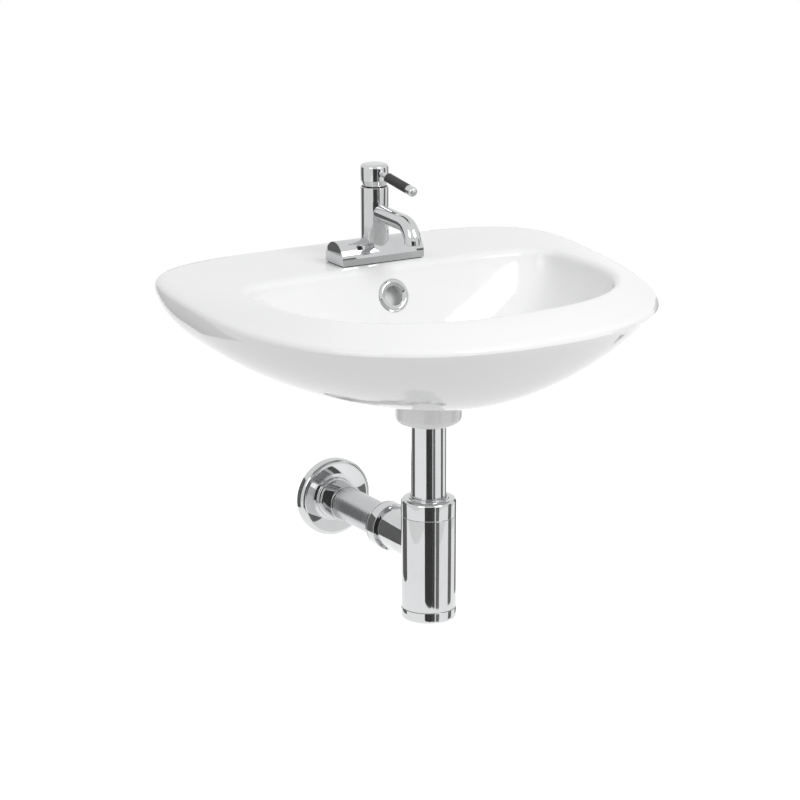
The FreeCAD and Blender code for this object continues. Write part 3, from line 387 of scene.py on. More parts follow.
cuts = [block("wall", basin_width, -basin_depth, 0.0, -basin_depth, basin_depth), hollow, waste_cut,
        duct("passage", passage_half_width, passage_front, passage_back, passage_top, passage_foot),
        lathe("overflow_hole", rod_corners(overflow_radius, overflow_cut_start, overflow_cut_end),
              place=overflow_place),
        lathe("overflow_seat", rod_corners(overflow_seat_radius, -overflow_sink, overflow_cut_end),
              place=overflow_place),
        turned_at("tap_hole", rod_corners(tap_hole_radius, 0.0, 2.0 * deck_height), tap_from_wall)]
bolt_spacing, bolt_hole_radius, bolt_hole_depth, bolt_cut_start = 200.0, 7.0, 21.0, 7.0
for side in (-0.5, 0.5):
    bolt_place = Matrix.Translation(Vector((side * bolt_spacing, bolt_cut_start, 0.0)) * MM) @ into_room
    bolt_cut = rod_corners(bolt_hole_radius, 0.0, bolt_cut_start + bolt_hole_depth)
    cuts.append(lathe("bolt_hole", bolt_cut, 48, place=bolt_place))
basin = combine(basin, [boss], "UNION")
basin = combine(basin, cuts, "DIFFERENCE")


class Wire:
    """A value inside a material, so that its shader maths reads as plain sums."""

    def __init__(self, nodes, socket):
        self.nodes = nodes
        self.socket = socket

    def maths(self, operation, first, second):
        return self.nodes.node("ShaderNodeMath", {"operation": operation}, {0: first, 1: second})

    def __add__(self, other):
        return self.maths("ADD", self, other)

    __radd__ = __add__

    def __mul__(self, other):
        return self.maths("MULTIPLY", self, other)

    __rmul__ = __mul__


class Nodes:
    """The shader nodes of one material or of the world, each made and wired in one way."""

    def __init__(self, tree):
        self.tree = tree

    def node(self, kind, settings=None, inputs=None, output=0):
        made = self.tree.nodes.new(kind)
        for key, value in (settings or {}).items():
            setattr(made, key, value)
        for key, value in (inputs or {}).items():
            self.feed(made.inputs[key], value)
        return Wire(self, made.outputs[output])

    def feed(self, socket, value):
        if isinstance(value, Wire):
            self.tree.links.new(value.socket, socket)
        else:
            socket.default_value = value


class Finish(Nodes):
    """A procedural material built up around one Principled shader."""

    def __init__(self, name, **constants):
        self.material = bpy.data.materials.new(name)
        self.material.use_nodes = True
        super().__init__(self.material.node_tree)
        self.shader = self.tree.nodes["Principled BSDF"]
        self.place = self.node("ShaderNodeTexCoord", output="Object")
        for socket, value in constants.items():
            self.shader.inputs[socket.replace("_", " ")].default_value = value

    def noise(self, scale, detail=2.0, stretch=(1.0, 1.0, 1.0)):
        place = self.node("ShaderNodeMapping", inputs={"Vector": self.place, "Scale": stretch})
        return self.node("ShaderNodeTexNoise", inputs={"Vector": place, "Scale": scale, "Detail": detail},
                         output="Fac")

    def blend(self, share, first, second):
        return self.node("ShaderNodeMix", {"data_type": "RGBA"}, {0: share, 6: first, 7: second}, output=2)

    def ramp(self, value, low, high):
        return self.node("ShaderNodeMapRange", {"clamp": True},
                         {"Value": value, "From Min": low, "From Max": high})

    def set(self, **links):
        for socket, value in links.items():
            self.feed(self.shader.inputs[socket.replace("_", " ")], value)

    def bump(self, bumps, distance):
        self.set(Normal=self.node("ShaderNodeBump", inputs={"Height": bumps, "Distance": distance}))


def dress(piece, finish, body, slot, *nodes, sharp=32.0):
    """Gives a piece its finish, its smooth shading and its place in the frame."""
    piece.data.materials.clear()
    piece.data.materials.append(finish.material)
    for face in piece.data.polygons:
        face.use_smooth = True
        face.material_index = 0
    piece.data.set_sharp_from_angle(angle=math.radians(sharp))
    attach(piece, body)
    if nodes:
        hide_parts(*nodes)


glaze = Finish("white_glaze", Roughness=0.07, IOR=1.52)
cloud = glaze.noise(9.0, 3.0)
speck = glaze.ramp(glaze.noise(900.0, 1.0), 0.71, 0.76)
glaze_tone = glaze.blend(cloud, (0.83, 0.833, 0.836, 1.0), (0.86, 0.86, 0.858, 1.0))
glaze.set(Base_Color=glaze.blend(speck * 0.12, glaze_tone, (0.6, 0.58, 0.55, 1.0)))
glaze.set(Roughness=0.05 + 0.05 * glaze.noise(35.0, 4.0))
glaze.bump(glaze.noise(60.0, 2.0) + 0.12 * glaze.noise(420.0, 2.0), 0.00012)
dress(basin, glaze, "basin", "glazed_china", "basin_body", sharp=38.0)


# The overflow ring is pressed brass, chromed. Its sleeve is pushed through the seat in the back
# of the bowl, so that its rolled bead hides the edge of the hole.

def shifted(along, place):
    return place @ Matrix.Translation(Vector((0.0, 0.0, along)) * MM)


chrome = Finish("polished_chrome", Metallic=1.0)
chrome_smear = chrome.noise(60.0, 4.0, (1.0, 1.0, 0.35))
chrome.set(Base_Color=chrome.blend(chrome_smear, (0.55, 0.555, 0.56, 1.0), (0.63, 0.635, 0.64, 1.0)))
chrome.set(Roughness=0.025 + 0.05 * chrome.noise(180.0, 5.0) * chrome_smear)
chrome.bump(chrome.noise(35.0, 1.0) + 0.05 * chrome.noise(1400.0, 3.0), 0.00004)

ring_radius, ring_crest_radius, ring_edge, ring_crest = 17.5, 14.7, 1.7, 3.4
sleeve_outer, sleeve_inner, sleeve_length = 11.4, 10.5, 6.0
ring_outline = [(ring_radius, 0.0), (ring_radius, ring_edge, 0.4), (ring_crest_radius, ring_crest, 2.2),
                (sleeve_inner, ring_edge, 0.5), (sleeve_inner, -sleeve_length),
                (sleeve_outer, -sleeve_length), (sleeve_outer, 0.0)]
overflow_ring = lathe("overflow_ring", ring_outline, place=shifted(-overflow_sink, overflow_place))
dress(overflow_ring, chrome, "basin", "polished_chrome", "overflow_trim_ring")


# The tap body is cast brass, ground and chromed: a half-round bar across the deck, a round
# column and a bent spout. It stands on a thin rubber gasket, with its spigot in the tap hole.

at_tap = Matrix.Translation(Vector((0.0, -tap_from_wall, deck_height)) * MM)
column_radius = 15.0
column_height = 80.0
spout_radius = 9.0
spout_reach = 79.0
spout_height = 53.5
spout_slope = 2.4
spout_bend = 20.0
outlet_height = 31.0
bar_half_depth = 19.0
bar_crown = 6.0
bar_half_length = 50.0
gasket_thickness = 1.0


def tap_rod(name, radius, bottom, top, across=0.0, out=0.0, sides=64):
    place = at_tap @ Matrix.Translation(Vector((across, -out, 0.0)) * MM)
    return lathe(name, rod_corners(radius, bottom, top), sides, place=place)


def bar_ring(across, inset):
    """Section of the bar across the deck, flat on its sides and half round on top."""
    half = bar_half_depth - inset
    points = [(-half, gasket_thickness + inset), (half, gasket_thickness + inset)]
    points += [(half * math.cos(turn), bar_crown + half * math.sin(turn))
               for turn in [math.pi * step / 48 for step in range(49)]]
    return [at_tap @ (Vector((across, out, up)) * MM) for out, up in points]


def spout_rings(start, radius, sides):
    """Rings along the spout, which runs out from the column and bends down to its outlet."""
    fall = math.tan(math.radians(spout_slope))
    path = rounded([(start, spout_height - start * fall),
                    (spout_reach, spout_height - spout_reach * fall, spout_bend),
                    (spout_reach, outlet_height)], 20, closed=False)
    rings = []
    for index, here in enumerate(path):
        before, after = path[max(index - 1, 0)], path[min(index + 1, len(path) - 1)]
        along = (after - before).normalized()
        along = Vector((0.0, -1.0)) if index == len(path) - 1 else along
        ring = []
        for turn in [2.0 * math.pi * side / sides for side in range(sides)]:
            out = here + Vector((-along.y, along.x)) * (radius * math.sin(turn))
            ring.append(at_tap @ (Vector((radius * math.cos(turn), -out.x, out.y)) * MM))
        rings.append(ring)
    return rings


bar_edge = 0.5
edge_insets = [(0.0, bar_edge), (0.3 * bar_edge, 0.3 * bar_edge), (bar_edge, 0.0)]
bar_ends = [(-bar_half_length + along, inset) for along, inset in edge_insets]
bar_ends += [(bar_half_length - along, inset) for along, inset in reversed(edge_insets)]
tap = skinned("tap_casting", [bar_ring(across, inset) for across, inset in bar_ends])
column = lathe("column", [(0.0, gasket_thickness), (column_radius, gasket_thickness),
                          (column_radius, column_height, 0.6), (0.0, column_height)], place=at_tap)
spigot_radius, spigot_foot = 16.5, -12.0
tap = combine(tap, [column, skinned("spout", spout_rings(0.0, spout_radius, 56)),
                    tap_rod("spigot", spigot_radius, spigot_foot, bar_crown)], "UNION")
chamber_floor, chamber_radius = 61.5, 12.6
cap_recess_floor, cap_recess_radius = 75.0, 13.7
outlet_radius, outlet_end = 8.0, 40.0
stud_radius, stud_setback, stud_head = 4.0, 11.5, -2.0
inlet_radius, inlet_offset, inlet_end = 4.4, 8.2, 0.0
tap_cuts = [tap_rod("cap_recess", cap_recess_radius, cap_recess_floor, column_height + 5.0),
            tap_rod("chamber", chamber_radius, chamber_floor, column_height),
            tap_rod("outlet", outlet_radius, outlet_height - 1.0, outlet_end, 0.0, spout_reach),
            tap_rod("stud_hole", stud_radius, spigot_foot - 0.1, stud_head, 0.0, -stud_setback, 32)]
for side in (-inlet_offset, inlet_offset):
    tap_cuts.append(tap_rod("inlet_port", inlet_radius, spigot_foot - 0.1, inlet_end, side, 0.0, 32))
tap = combine(tap, tap_cuts, "DIFFERENCE")
dress(tap, chrome, "basin", "polished_chrome", "tap_body")

rubber = Finish("black_rubber", IOR=1.5)
rubber_dust = rubber.ramp(rubber.noise(300.0, 4.0), 0.45, 0.75)
rubber.set(Base_Color=rubber.blend(rubber_dust, (0.012, 0.012, 0.013, 1.0), (0.035, 0.035, 0.036, 1.0)))
rubber.set(Roughness=0.55 + 0.2 * rubber_dust)
rubber.bump(rubber.noise(900.0, 3.0), 0.00005)
half_length, half_depth = bar_half_length - 1.0, bar_half_depth - 1.0
gasket = prism("deck_gasket", rounded_box(half_length, -half_depth, half_depth, 3.0, 8),
               0.0, gasket_thickness, at_tap)
gasket = combine(gasket, [tap_rod("gasket_hole", tap_hole_radius, -1.0, 2.0)], "DIFFERENCE")
dress(gasket, rubber, "basin", "black_rubber", "tap_base_gasket")


# The aerator is a moulded plastic insert, pushed up into the end of the spout. Its honeycomb mixes
# air into the water.

def hexagon(radius, across=0.0, out=0.0):
    turns = [math.pi * (side / 3.0 + 1.0 / 6.0) for side in range(6)]
    return [(across + radius * math.cos(turn), out + radius * math.sin(turn)) for turn in turns]


at_outlet = at_tap @ Matrix.Translation(Vector((0.0, -spout_reach, outlet_height)) * MM)
insert_radius, insert_length = 7.9, 9.0
dish_radius, dish_depth = 6.3, 0.9
aerator = lathe("aerator_insert", [(0.0, dish_depth), (dish_radius, dish_depth), (6.8, 0.0, 0.2),
                                   (insert_radius, 0.0, 0.3), (insert_radius, insert_length),
                                   (0.0, insert_length)], 72, place=at_outlet)
mesh_pitch, mesh_radius, mesh_hole_radius, mesh_depth = 1.75, 5.6, 0.82, 4.0
mesh_holes = []
for row in range(-3, 4):
    for column_index in range(-3, 4):
        across = mesh_pitch * (column_index + row % 2 / 2.0)
        out = mesh_pitch * row * math.sin(math.pi / 3.0)
        if math.hypot(across, out) < mesh_radius:
            cell = hexagon(mesh_hole_radius, across, out)
            mesh_holes.append(prism("mesh_hole", cell, -1.0, mesh_depth, at_outlet))
aerator = combine(aerator, mesh_holes, "DIFFERENCE")
moulded = Finish("aerator_plastic", IOR=1.5)
moulded_flow = moulded.noise(240.0, 3.0)
moulded.set(Base_Color=moulded.blend(moulded_flow, (0.48, 0.49, 0.5, 1.0), (0.6, 0.61, 0.62, 1.0)))
moulded.set(Roughness=0.25 + 0.15 * moulded_flow)
moulded.bump(moulded.noise(700.0, 2.0), 0.00003)
dress(aerator, moulded, "basin", "aerator_plastic", "aerator")


# The tap is held from below by one zinc plated stud. A nut draws a horseshoe plate and its
# rubber gasket up against the underside of the deck.

def thread_rows(radius, depth, pitch, start, end, sides=48):
    """Levels of a screw thread, from one height to another."""
    steps = 6
    count = int(abs(end - start) / pitch * steps)
    rows = []
    for index in range(count + 1):
        up = mix(start, end, index / count)
        faded = min(index, count - index, steps) / steps
        row = []
        for side in range(sides):
            phase = (up / pitch - side / sides) % 1.0
            valley = abs(2.0 * phase - 1.0) * faded
            reach = radius - depth * (valley + 0.35 * (1.0 - faded))
            turn = 2.0 * math.pi * side / sides
            row.append(Vector((reach * math.cos(turn), reach * math.sin(turn), up)))
        rows.append(row)
    return rows


def hex_nut(name, flats, hole, bottom, top, place):
    """Six-sided nut with its corners chamfered and a lead into its thread."""
    corner = flats / 2.0 / math.cos(math.pi / 6.0)
    chamfer = corner - flats / 2.0
    lead, past, rise = 0.6, corner + 0.2, chamfer * 0.6
    outline = [(hole + lead, bottom), (flats / 2.0, bottom), (past, bottom + rise), (past, top - rise),
               (flats / 2.0, top), (hole + lead, top), (hole, top - lead), (hole, bottom + lead)]
    nut = lathe(name, outline, 96, 1, place)
    return combine(nut, [prism("flats", hexagon(corner), bottom - 1.0, top + 1.0, place)], "INTERSECT")


zinc = Finish("zinc_steel", Metallic=1.0)
zinc_bloom = zinc.noise(140.0, 5.0)
zinc.set(Base_Color=zinc.blend(zinc_bloom, (0.5, 0.52, 0.55, 1.0), (0.68, 0.68, 0.66, 1.0)))
zinc.set(Roughness=0.22 + 0.25 * zinc_bloom)
zinc.bump(zinc.noise(600.0, 3.0), 0.00004)
stud_place = at_tap @ Matrix.Translation(Vector((0.0, stud_setback, 0.0)) * MM)
stud_foot, stud_thread_depth, stud_pitch = -64.0, 0.45, 1.25
stud_rows = thread_rows(stud_radius, stud_thread_depth, stud_pitch, stud_foot, stud_head)
stud = woven("fixing_stud", [around_axis(0.0, stud_foot, 1)] + stud_rows + [around_axis(0.0, stud_head, 1)],
             stud_place)
slot_cut = prism("slot_cut", [(-6.0, -0.6), (6.0, -0.6), (6.0, 0.6), (-6.0, 0.6)], stud_foot - 1.0,
                 stud_foot + 1.2, stud_place)
stud = combine(stud, [slot_cut], "DIFFERENCE")
dress(stud, zinc, "basin", "zinc_steel", "tap_fixing_stud")

clamp_radius, clamp_opening, clamp_opening_back = 24.0, 13.5, 5.0
clamp_front = bowl_back_at(passage_top) - passage_back - passage_wall - tap_from_wall - 0.3


def horseshoe(name, bottom, top, edge):
    """Round plate with a flat front, open in front for the supply tails."""
    plate = lathe(name, [(0.0, bottom), (clamp_radius, bottom, edge), (clamp_radius, top, edge), (0.0, top)],
                  place=at_tap)
    beyond = 60.0
    start, end = bottom - 1.0, top + 1.0
    front = prism("front", [(-beyond, -clamp_front - beyond), (beyond, -clamp_front - beyond),
                            (beyond, -clamp_front), (-beyond, -clamp_front)], start, end, at_tap)
    slot = rounded_box(clamp_opening, -2.0 * clamp_radius, clamp_opening_back, clamp_opening / 2.0, 10)
    opening = prism("opening", slot, start, end, at_tap)
    hole = tap_rod("hole", stud_hole_radius, start, end, 0.0, -stud_setback, 48)
    return combine(plate, [front, opening, hole], "DIFFERENCE")


stud_hole_radius = stud_radius + 0.1
clamp_seat, clamp_joint, clamp_foot, stud_nut_foot = -14.0, -16.0, -19.0, -25.5
clamp_gasket = horseshoe("clamp_gasket", clamp_joint, clamp_seat, 0.3)
dress(clamp_gasket, rubber, "basin", "black_rubber", "tap_clamp_gasket")
clamp_plate = horseshoe("clamp_plate", clamp_foot, clamp_joint, 0.5)
dress(clamp_plate, zinc, "basin", "zinc_steel", "tap_clamp_plate")
brass = Finish("brass", Metallic=1.0)
brass_tarnish = brass.noise(90.0, 5.0)
brass.set(Base_Color=brass.blend(brass_tarnish, (0.5, 0.36, 0.15, 1.0), (0.7, 0.53, 0.26, 1.0)))
brass.set(Roughness=0.18 + 0.22 * brass_tarnish)
brass.bump(brass.noise(20.0, 2.0, (1.0, 1.0, 60.0)), 0.00003)
stud_nut = hex_nut("stud_nut", 13.0, stud_hole_radius, stud_nut_foot, clamp_foot, stud_place)
dress(stud_nut, brass, "basin", "brass", "tap_fixing_nut")


# The cartridge sits inside the column: a moulded housing under a screwed brass ring, with a
# brass fork that turns with the handle and carries the lever spindle on a steel pin.

def dress_solid(node, finish):
    """Gives a solid of the frame its finish, and leaves its mesh as it is."""
    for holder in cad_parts[node].material_slots:
        holder.material = finish.material


nylon = Finish("cartridge_plastic", IOR=1.5)
nylon_flow = nylon.noise(160.0, 3.0)
nylon.set(Base_Color=nylon.blend(nylon_flow, (0.7, 0.7, 0.68, 1.0), (0.8, 0.8, 0.78, 1.0)))
nylon.set(Roughness=0.4 + 0.15 * nylon_flow)
nylon.bump(nylon.noise(800.0, 2.0), 0.00003)
dress_solid("cartridge_housing", nylon)
for node in ("cartridge_nut", "cartridge_collar", "cartridge_spindle"):
    dress_solid(node, brass)
dress_solid("spindle_pivot_pin", zinc)


# The handle cap is turned brass, chromed, slightly barrelled and domed. It is gripped on the
# spindle by a grub screw at the back, and the lever pin is screwed into its front.

lever_root_height, lever_drop = 97.6, 7.5
lever_place = (Matrix.Translation(Vector((0.0, -tap_from_wall, deck_height + lever_root_height)) * MM)
               @ Matrix.Rotation(math.radians(90.0 + lever_drop), 4, "X"))
cap_foot, cap_shoulder, cap_top = 81.0, 104.0, 104.6
cap_bore, cap_roof = 10.5, 91.0
cap_outline = [(cap_bore, cap_foot), (12.9, cap_foot, 0.5), (column_radius, 87.0, 3.0), (15.2, 94.8, 60.0),
               (column_radius, cap_shoulder, 3.5), (9.0, 104.5, 20.0), (0.0, cap_top), (0.0, cap_roof),
               (cap_bore, cap_roof)]
cap = lathe("handle_cap_shell", cap_outline, 96, 8, at_tap)
grub_height = 94.0
grub_place = (Matrix.Translation(Vector((0.0, -tap_from_wall, deck_height + grub_height)) * MM)
              @ Matrix.Rotation(-quarter, 4, "X"))
grub_radius, grub_start, grub_end = 2.0, 3.1, 11.1
pin_radius, pin_start, pin_end = 3.0, 7.0, 71.0
socket_half, socket_roof = 3.1, 97.1
socket = [(-socket_half, -socket_half), (socket_half, -socket_half), (socket_half, socket_half),
          (-socket_half, socket_half)]
cap_cuts = [lathe("grub_hole", rod_corners(grub_radius + 0.1, grub_start - 0.1, 30.0), 40, place=grub_place),
            lathe("pin_hole", rod_corners(pin_radius + 0.1, pin_start, 20.0), 48, place=lever_place),
            prism("socket", socket, cap_roof - 1.0, socket_roof, at_tap)]
cap = combine(cap, cap_cuts, "DIFFERENCE")
dress(cap, chrome, "handle", "polished_chrome", "handle_cap")
grub = lathe("grub_screw", [(0.0, grub_start), (grub_radius - 0.4, grub_start),
                            (grub_radius, grub_start + 0.4), (grub_radius, grub_end - 0.3),
                            (grub_radius - 0.3, grub_end), (0.0, grub_end)], 48, place=grub_place)
grub = combine(grub, [prism("key_socket", hexagon(1.15), 7.1, 12.0, grub_place)], "DIFFERENCE")
dress(grub, zinc, "handle", "zinc_steel", "handle_grub_screw")


# The lever is a chromed pin with a black knurled sleeve pushed onto it. A polished cap closes
# the end of the sleeve.

pin_outline = [(0.0, pin_start), (pin_radius, pin_start), (pin_radius, pin_end, 0.5), (0.0, pin_end)]
lever_pin = lathe("lever_pin_rod", pin_outline, 64, place=lever_place)
dress(lever_pin, chrome, "handle", "polished_chrome", "lever_pin")
sleeve_start, sleeve_end, sleeve_radius, sleeve_bore = 30.0, 72.0, 5.2, pin_radius + 0.1
knurl_depth = 0.28
knurl_teeth = 26


def knurled_rows(radius, depth, teeth, start, end):
    """Levels of a skin that carries crossed spiral grooves, plain for a little way at each end."""
    cuts = 6
    pitch = 2.0 * math.pi * radius / teeth
    count = int((end - start) / pitch * cuts)
    rows = []
    for index in range(count + 1):
        up = mix(start, end, index / count)
        plain = min(up - start, end - up) < pitch / 2.0
        row = []
        for side in range(teeth * cuts):
            left, right = (side / cuts + up / pitch) % 1.0, (side / cuts - up / pitch) % 1.0
            groove = max(abs(2.0 * left - 1.0), abs(2.0 * right - 1.0)) ** 2
            reach = radius - depth * (0.0 if plain else groove)
            turn = 2.0 * math.pi * side / (teeth * cuts)
            row.append(Vector((reach * math.cos(turn), reach * math.sin(turn), up)))
        rows.append(row)
    return rows


knurl = knurled_rows(sleeve_radius, knurl_depth, knurl_teeth, sleeve_start, sleeve_end)
grip = woven("lever_grip", [around_axis(sleeve_bore, sleeve_start, len(knurl[0]))] + knurl
             + [around_axis(sleeve_bore, sleeve_end, len(knurl[0]))], lever_place)
grip_black = Finish("black_knurled_grip", IOR=1.5)
grip_wear = grip_black.noise(220.0, 4.0)
grip_black.set(Base_Color=grip_black.blend(grip_wear, (0.01, 0.01, 0.011, 1.0), (0.03, 0.03, 0.032, 1.0)))
grip_black.set(Roughness=0.32 + 0.2 * grip_wear)
grip_black.bump(grip_black.noise(1500.0, 2.0), 0.00002)
dress(grip, grip_black, "handle", "black_knurled_grip", "lever_sleeve", sharp=60.0)
tip_end, tip_chamfer = 83.0, 0.2
tip = lathe("lever_tip", [(0.0, sleeve_end), (sleeve_radius - tip_chamfer, sleeve_end),
                          (sleeve_radius, sleeve_end + tip_chamfer), (sleeve_radius, tip_end, 3.5),
                          (0.0, tip_end)], 96, 10, place=lever_place)
dress(tip, chrome, "handle", "polished_chrome", "lever_end_cap")


# The waste is a chromed brass flange with a threaded tail, slotted for the overflow. It is
# bedded on a rubber seal in the bowl and drawn down by a brass nut under a second seal.

def at_waste(name, corners, sides=96, steps=6):
    return turned_at(name, below_deck(corners), waste_from_wall, sides, steps)


waste_place = Matrix.Translation(Vector((0.0, -waste_from_wall, 0.0)) * MM)
flange_foot, flange_edge, flange_crest = 110.3, 109.1, 107.3
flange_radius = 31.0
tail_radius, tail_bore, tail_end = 20.95, 18.4, 147.0
thread_bore = tail_radius + 0.1
nut_top, nut_foot = 132.0, 139.0
flange_corners = [(tail_bore, 108.9), (29.0, flange_crest, 3.0), (flange_radius, flange_edge),
                  (flange_radius, flange_foot), (tail_radius, flange_foot)]
flange_rows = turned_rows(below_deck(flange_corners), 96, 8, False)
tail_rows = thread_rows(tail_radius, 0.7, 2.0, height(flange_foot) - 0.1, height(tail_end), 96)
waste = woven("waste_flange_and_tail", flange_rows + tail_rows
              + [around_axis(tail_bore, height(tail_end), 96)], waste_place)
slot_half_width, slot_reach = 6.0, 41.0
tail_slots = block("tail_slots", slot_half_width, waste_from_wall - slot_reach, waste_from_wall + slot_reach,
                   passage_foot_top, passage_foot)
waste = combine(waste, [tail_slots], "DIFFERENCE")
dress(waste, chrome, "basin", "polished_chrome", "waste_body")
for name, node, outer, top, foot in (("flange_seal", "waste_top_seal", 29.0, flange_foot, recess_floor),
                                     ("tail_seal", "waste_bottom_seal", 28.0, seat_depth, nut_top)):
    seal = at_waste(name, [(thread_bore, foot, 0.3), (outer, foot, 0.5), (outer, top, 0.5),
                           (thread_bore, top, 0.3)])
    dress(seal, rubber, "basin", "black_rubber", node)
backnut = hex_nut("tail_nut", 50.0, thread_bore, height(nut_foot), height(nut_top), waste_place)
dress(backnut, brass, "basin", "brass", "waste_backnut")
dress_solid("click_cartridge", brass)


# The plug is a domed chromed disc on a stem, with a rubber ring under it. A push moves it down to
# close the waste, and the catch in the tail lets it up again with the next push.

plug_foot, plug_edge, plug_rise, plug_crown = 98.8, 3.0, 3.8, 4.2
plug_radius, stem_radius, stem_foot = 21.5, 4.0, 127.0
plug = at_waste("plug_disc", [(0.0, plug_foot - plug_crown), (16.0, plug_foot - plug_rise, 30.0),
                              (plug_radius, plug_foot - plug_edge, 1.2), (plug_radius, plug_foot, 0.3),
                              (stem_radius, plug_foot, 1.0), (stem_radius, stem_foot, 0.6),
                              (0.0, stem_foot)], 128, 8)
dress(plug, chrome, "plug", "polished_chrome", "waste_plug")
ring_bore, ring_outer, ring_foot = 17.8, 20.3, plug_foot + 1.5
plug_ring = at_waste("plug_ring", [(ring_bore, ring_foot, 0.5), (ring_outer, ring_foot, 0.5),
                                   (ring_outer, plug_foot), (ring_bore, plug_foot)])
dress(plug_ring, rubber, "plug", "black_rubber", "plug_seal")


# The inlet tube of the trap is thin chromed brass with a flanged top. A coupling nut holds the
# flange up against the end of the waste tail, with a rubber washer between.

washer_foot, tube_flange_foot = 148.6, 150.1
washer = at_waste("tube_washer", [(tail_bore, washer_foot, 0.2), (tail_radius, washer_foot, 0.2),
                                  (tail_radius, tail_end, 0.2), (tail_bore, tail_end, 0.2)])
dress(washer, rubber, "basin", "black_rubber", "inlet_coupling_seal")
tube_radius, tube_bore, tube_foot = 19.0, 17.8, 335.0
around_tube = tube_radius + 0.1
coupling_radius, coupling_top, coupling_foot = 26.0, 140.1, 153.5
coupling = at_waste("coupling_nut", [(thread_bore, tube_flange_foot), (thread_bore, coupling_top, 0.4),
                                     (coupling_radius, coupling_top, 0.6),
                                     (coupling_radius, coupling_foot, 1.2),
                                     (around_tube, coupling_foot, 0.4), (around_tube, tube_flange_foot)])
groove_count, groove_half_angle = 24, 0.03
groove_floor, groove_mouth = coupling_radius - 0.7, coupling_radius + 1.0
groove_low, groove_high = height(coupling_foot - 1.5), height(coupling_top - 0.6)
grooves = []
for turn in [2.0 * math.pi * step / groove_count for step in range(groove_count)]:
    before, after = turn - groove_half_angle, turn + groove_half_angle
    corners = [(groove_floor, before), (groove_mouth, before), (groove_mouth, after), (groove_floor, after)]
    outline = [(radius * math.cos(angle), radius * math.sin(angle)) for radius, angle in corners]
    grooves.append(prism("groove", outline, groove_low, groove_high, waste_place))
coupling = combine(coupling, grooves, "DIFFERENCE")
dress(coupling, chrome, "basin", "polished_chrome", "inlet_coupling_nut")
tube = at_waste("inlet_pipe", [(tube_bore, washer_foot), (tail_radius, washer_foot),
                               (tail_radius, tube_flange_foot), (tube_radius, tube_flange_foot, 0.4),
                               (tube_radius, tube_foot, 0.4), (tube_bore, tube_foot)], 128)
dress(tube, chrome, "basin", "polished_chrome", "inlet_tube")


# The bottle trap is chromed brass: a nut with a domed shoulder and a small rolled lip grips the
# inlet tube on a seal, and the cup unscrews from the foot of the bottle to clean it out.

trap_top = 235.0
trap_radius = 29.7
bottle_radius = 29.5
bottle_bore = 27.0
neck_top, neck_foot = 241.4, 245.4
neck_radius, neck_bore = 26.0, 23.0
seam = 0.3
lip_radius, lip_foot = 21.8, trap_top + 1.4
collar_foot = trap_top + 20.5
cup_seam, cup_foot = 358.0, 370.0
outlet_depth = 291.0
nut_hole = tube_radius + 0.3
at_outlet_pipe = Matrix.Translation(Vector((0.0, 0.0, height(outlet_depth))) * MM) @ into_room
top_nut = at_waste("trap_nut", [(nut_hole, trap_top, 0.3), (lip_radius, trap_top, 0.6),
                                (lip_radius, lip_foot, 0.2), (trap_radius, lip_foot, 5.0),
                                (trap_radius, collar_foot, 0.4), (neck_radius + 0.1, collar_foot),
                                (neck_radius + 0.1, neck_top), (nut_hole, neck_top)], 128, 10)
dress(top_nut, chrome, "basin", "polished_chrome", "trap_top_nut")
neck_seal = at_waste("trap_seal", [(around_tube, neck_foot), (neck_radius, neck_foot),
                                   (neck_radius, neck_top), (around_tube, neck_top)])
dress(neck_seal, rubber, "basin", "black_rubber", "trap_inlet_seal")
bottle_top = collar_foot + seam
bottle_roof = bottle_top + 2.5
bottle_foot = cup_seam - seam
bottle = at_waste("trap_bottle", [(neck_bore, neck_foot), (neck_radius, neck_foot),
                                  (neck_radius, bottle_top), (bottle_radius, bottle_top, 0.4),
                                  (bottle_radius, bottle_foot, 0.4), (bottle_bore, bottle_foot),
                                  (bottle_bore, bottle_roof), (neck_bore, bottle_roof)], 128)
stub_radius, stub_end, stub_root = 23.0, 128.0, 200.0
stub = lathe("side_outlet", [(0.0, stub_end), (stub_radius, stub_end, 0.4), (stub_radius, stub_root),
                             (0.0, stub_root)], place=at_outlet_pipe)
bottle = combine(bottle, [stub], "UNION")
pipe_radius, pipe_bore, pipe_end = 19.0, 17.8, 150.0
around_pipe = pipe_radius + 0.1
bottle_cuts = [at_waste("bottle_bore", rod_corners(bottle_bore, cup_foot, bottle_roof), 128),
               lathe("pipe_socket", rod_corners(around_pipe, stub_end - 8.0, pipe_end),
                     place=at_outlet_pipe),
               lathe("side_way", rod_corners(pipe_bore, pipe_end - 3.0, stub_root + 10.0),
                     place=at_outlet_pipe)]
bottle = combine(bottle, bottle_cuts, "DIFFERENCE")
dress(bottle, chrome, "basin", "polished_chrome", "trap_body")
cup_spigot = bottle_bore * math.cos(math.pi / 32.0) - 0.1
seal_bore = cup_spigot + 0.05
cup_ring = at_waste("cup_seal", [(seal_bore, cup_seam), (bottle_radius, cup_seam),
                                 (bottle_radius, bottle_foot), (seal_bore, bottle_foot)])
dress(cup_ring, rubber, "cup_thread", "black_rubber", "trap_cup_seal")
cup_lip, cup_floor, cup_bore = 346.0, 366.5, 24.4
spigot_rows = thread_rows(cup_spigot, 0.5, 2.0, height(cup_lip), height(cup_seam), 128)
cup_corners = [(cup_spigot, cup_seam), (trap_radius, cup_seam, 0.4), (trap_radius, cup_foot, 3.0),
               (0.0, cup_foot), (0.0, cup_floor), (cup_bore, cup_floor, 2.0), (cup_bore, cup_lip)]
cup = woven("trap_cup_shell", spigot_rows + turned_rows(below_deck(cup_corners), 128, 8, False), waste_place)
dress(cup, chrome, "cup", "polished_chrome", "trap_cup")


# The outlet nut is chromed, with a fine groove round it, and squeezes a rubber seal round the
# waste pipe. The pipe is satin chromed and runs back into the wall.

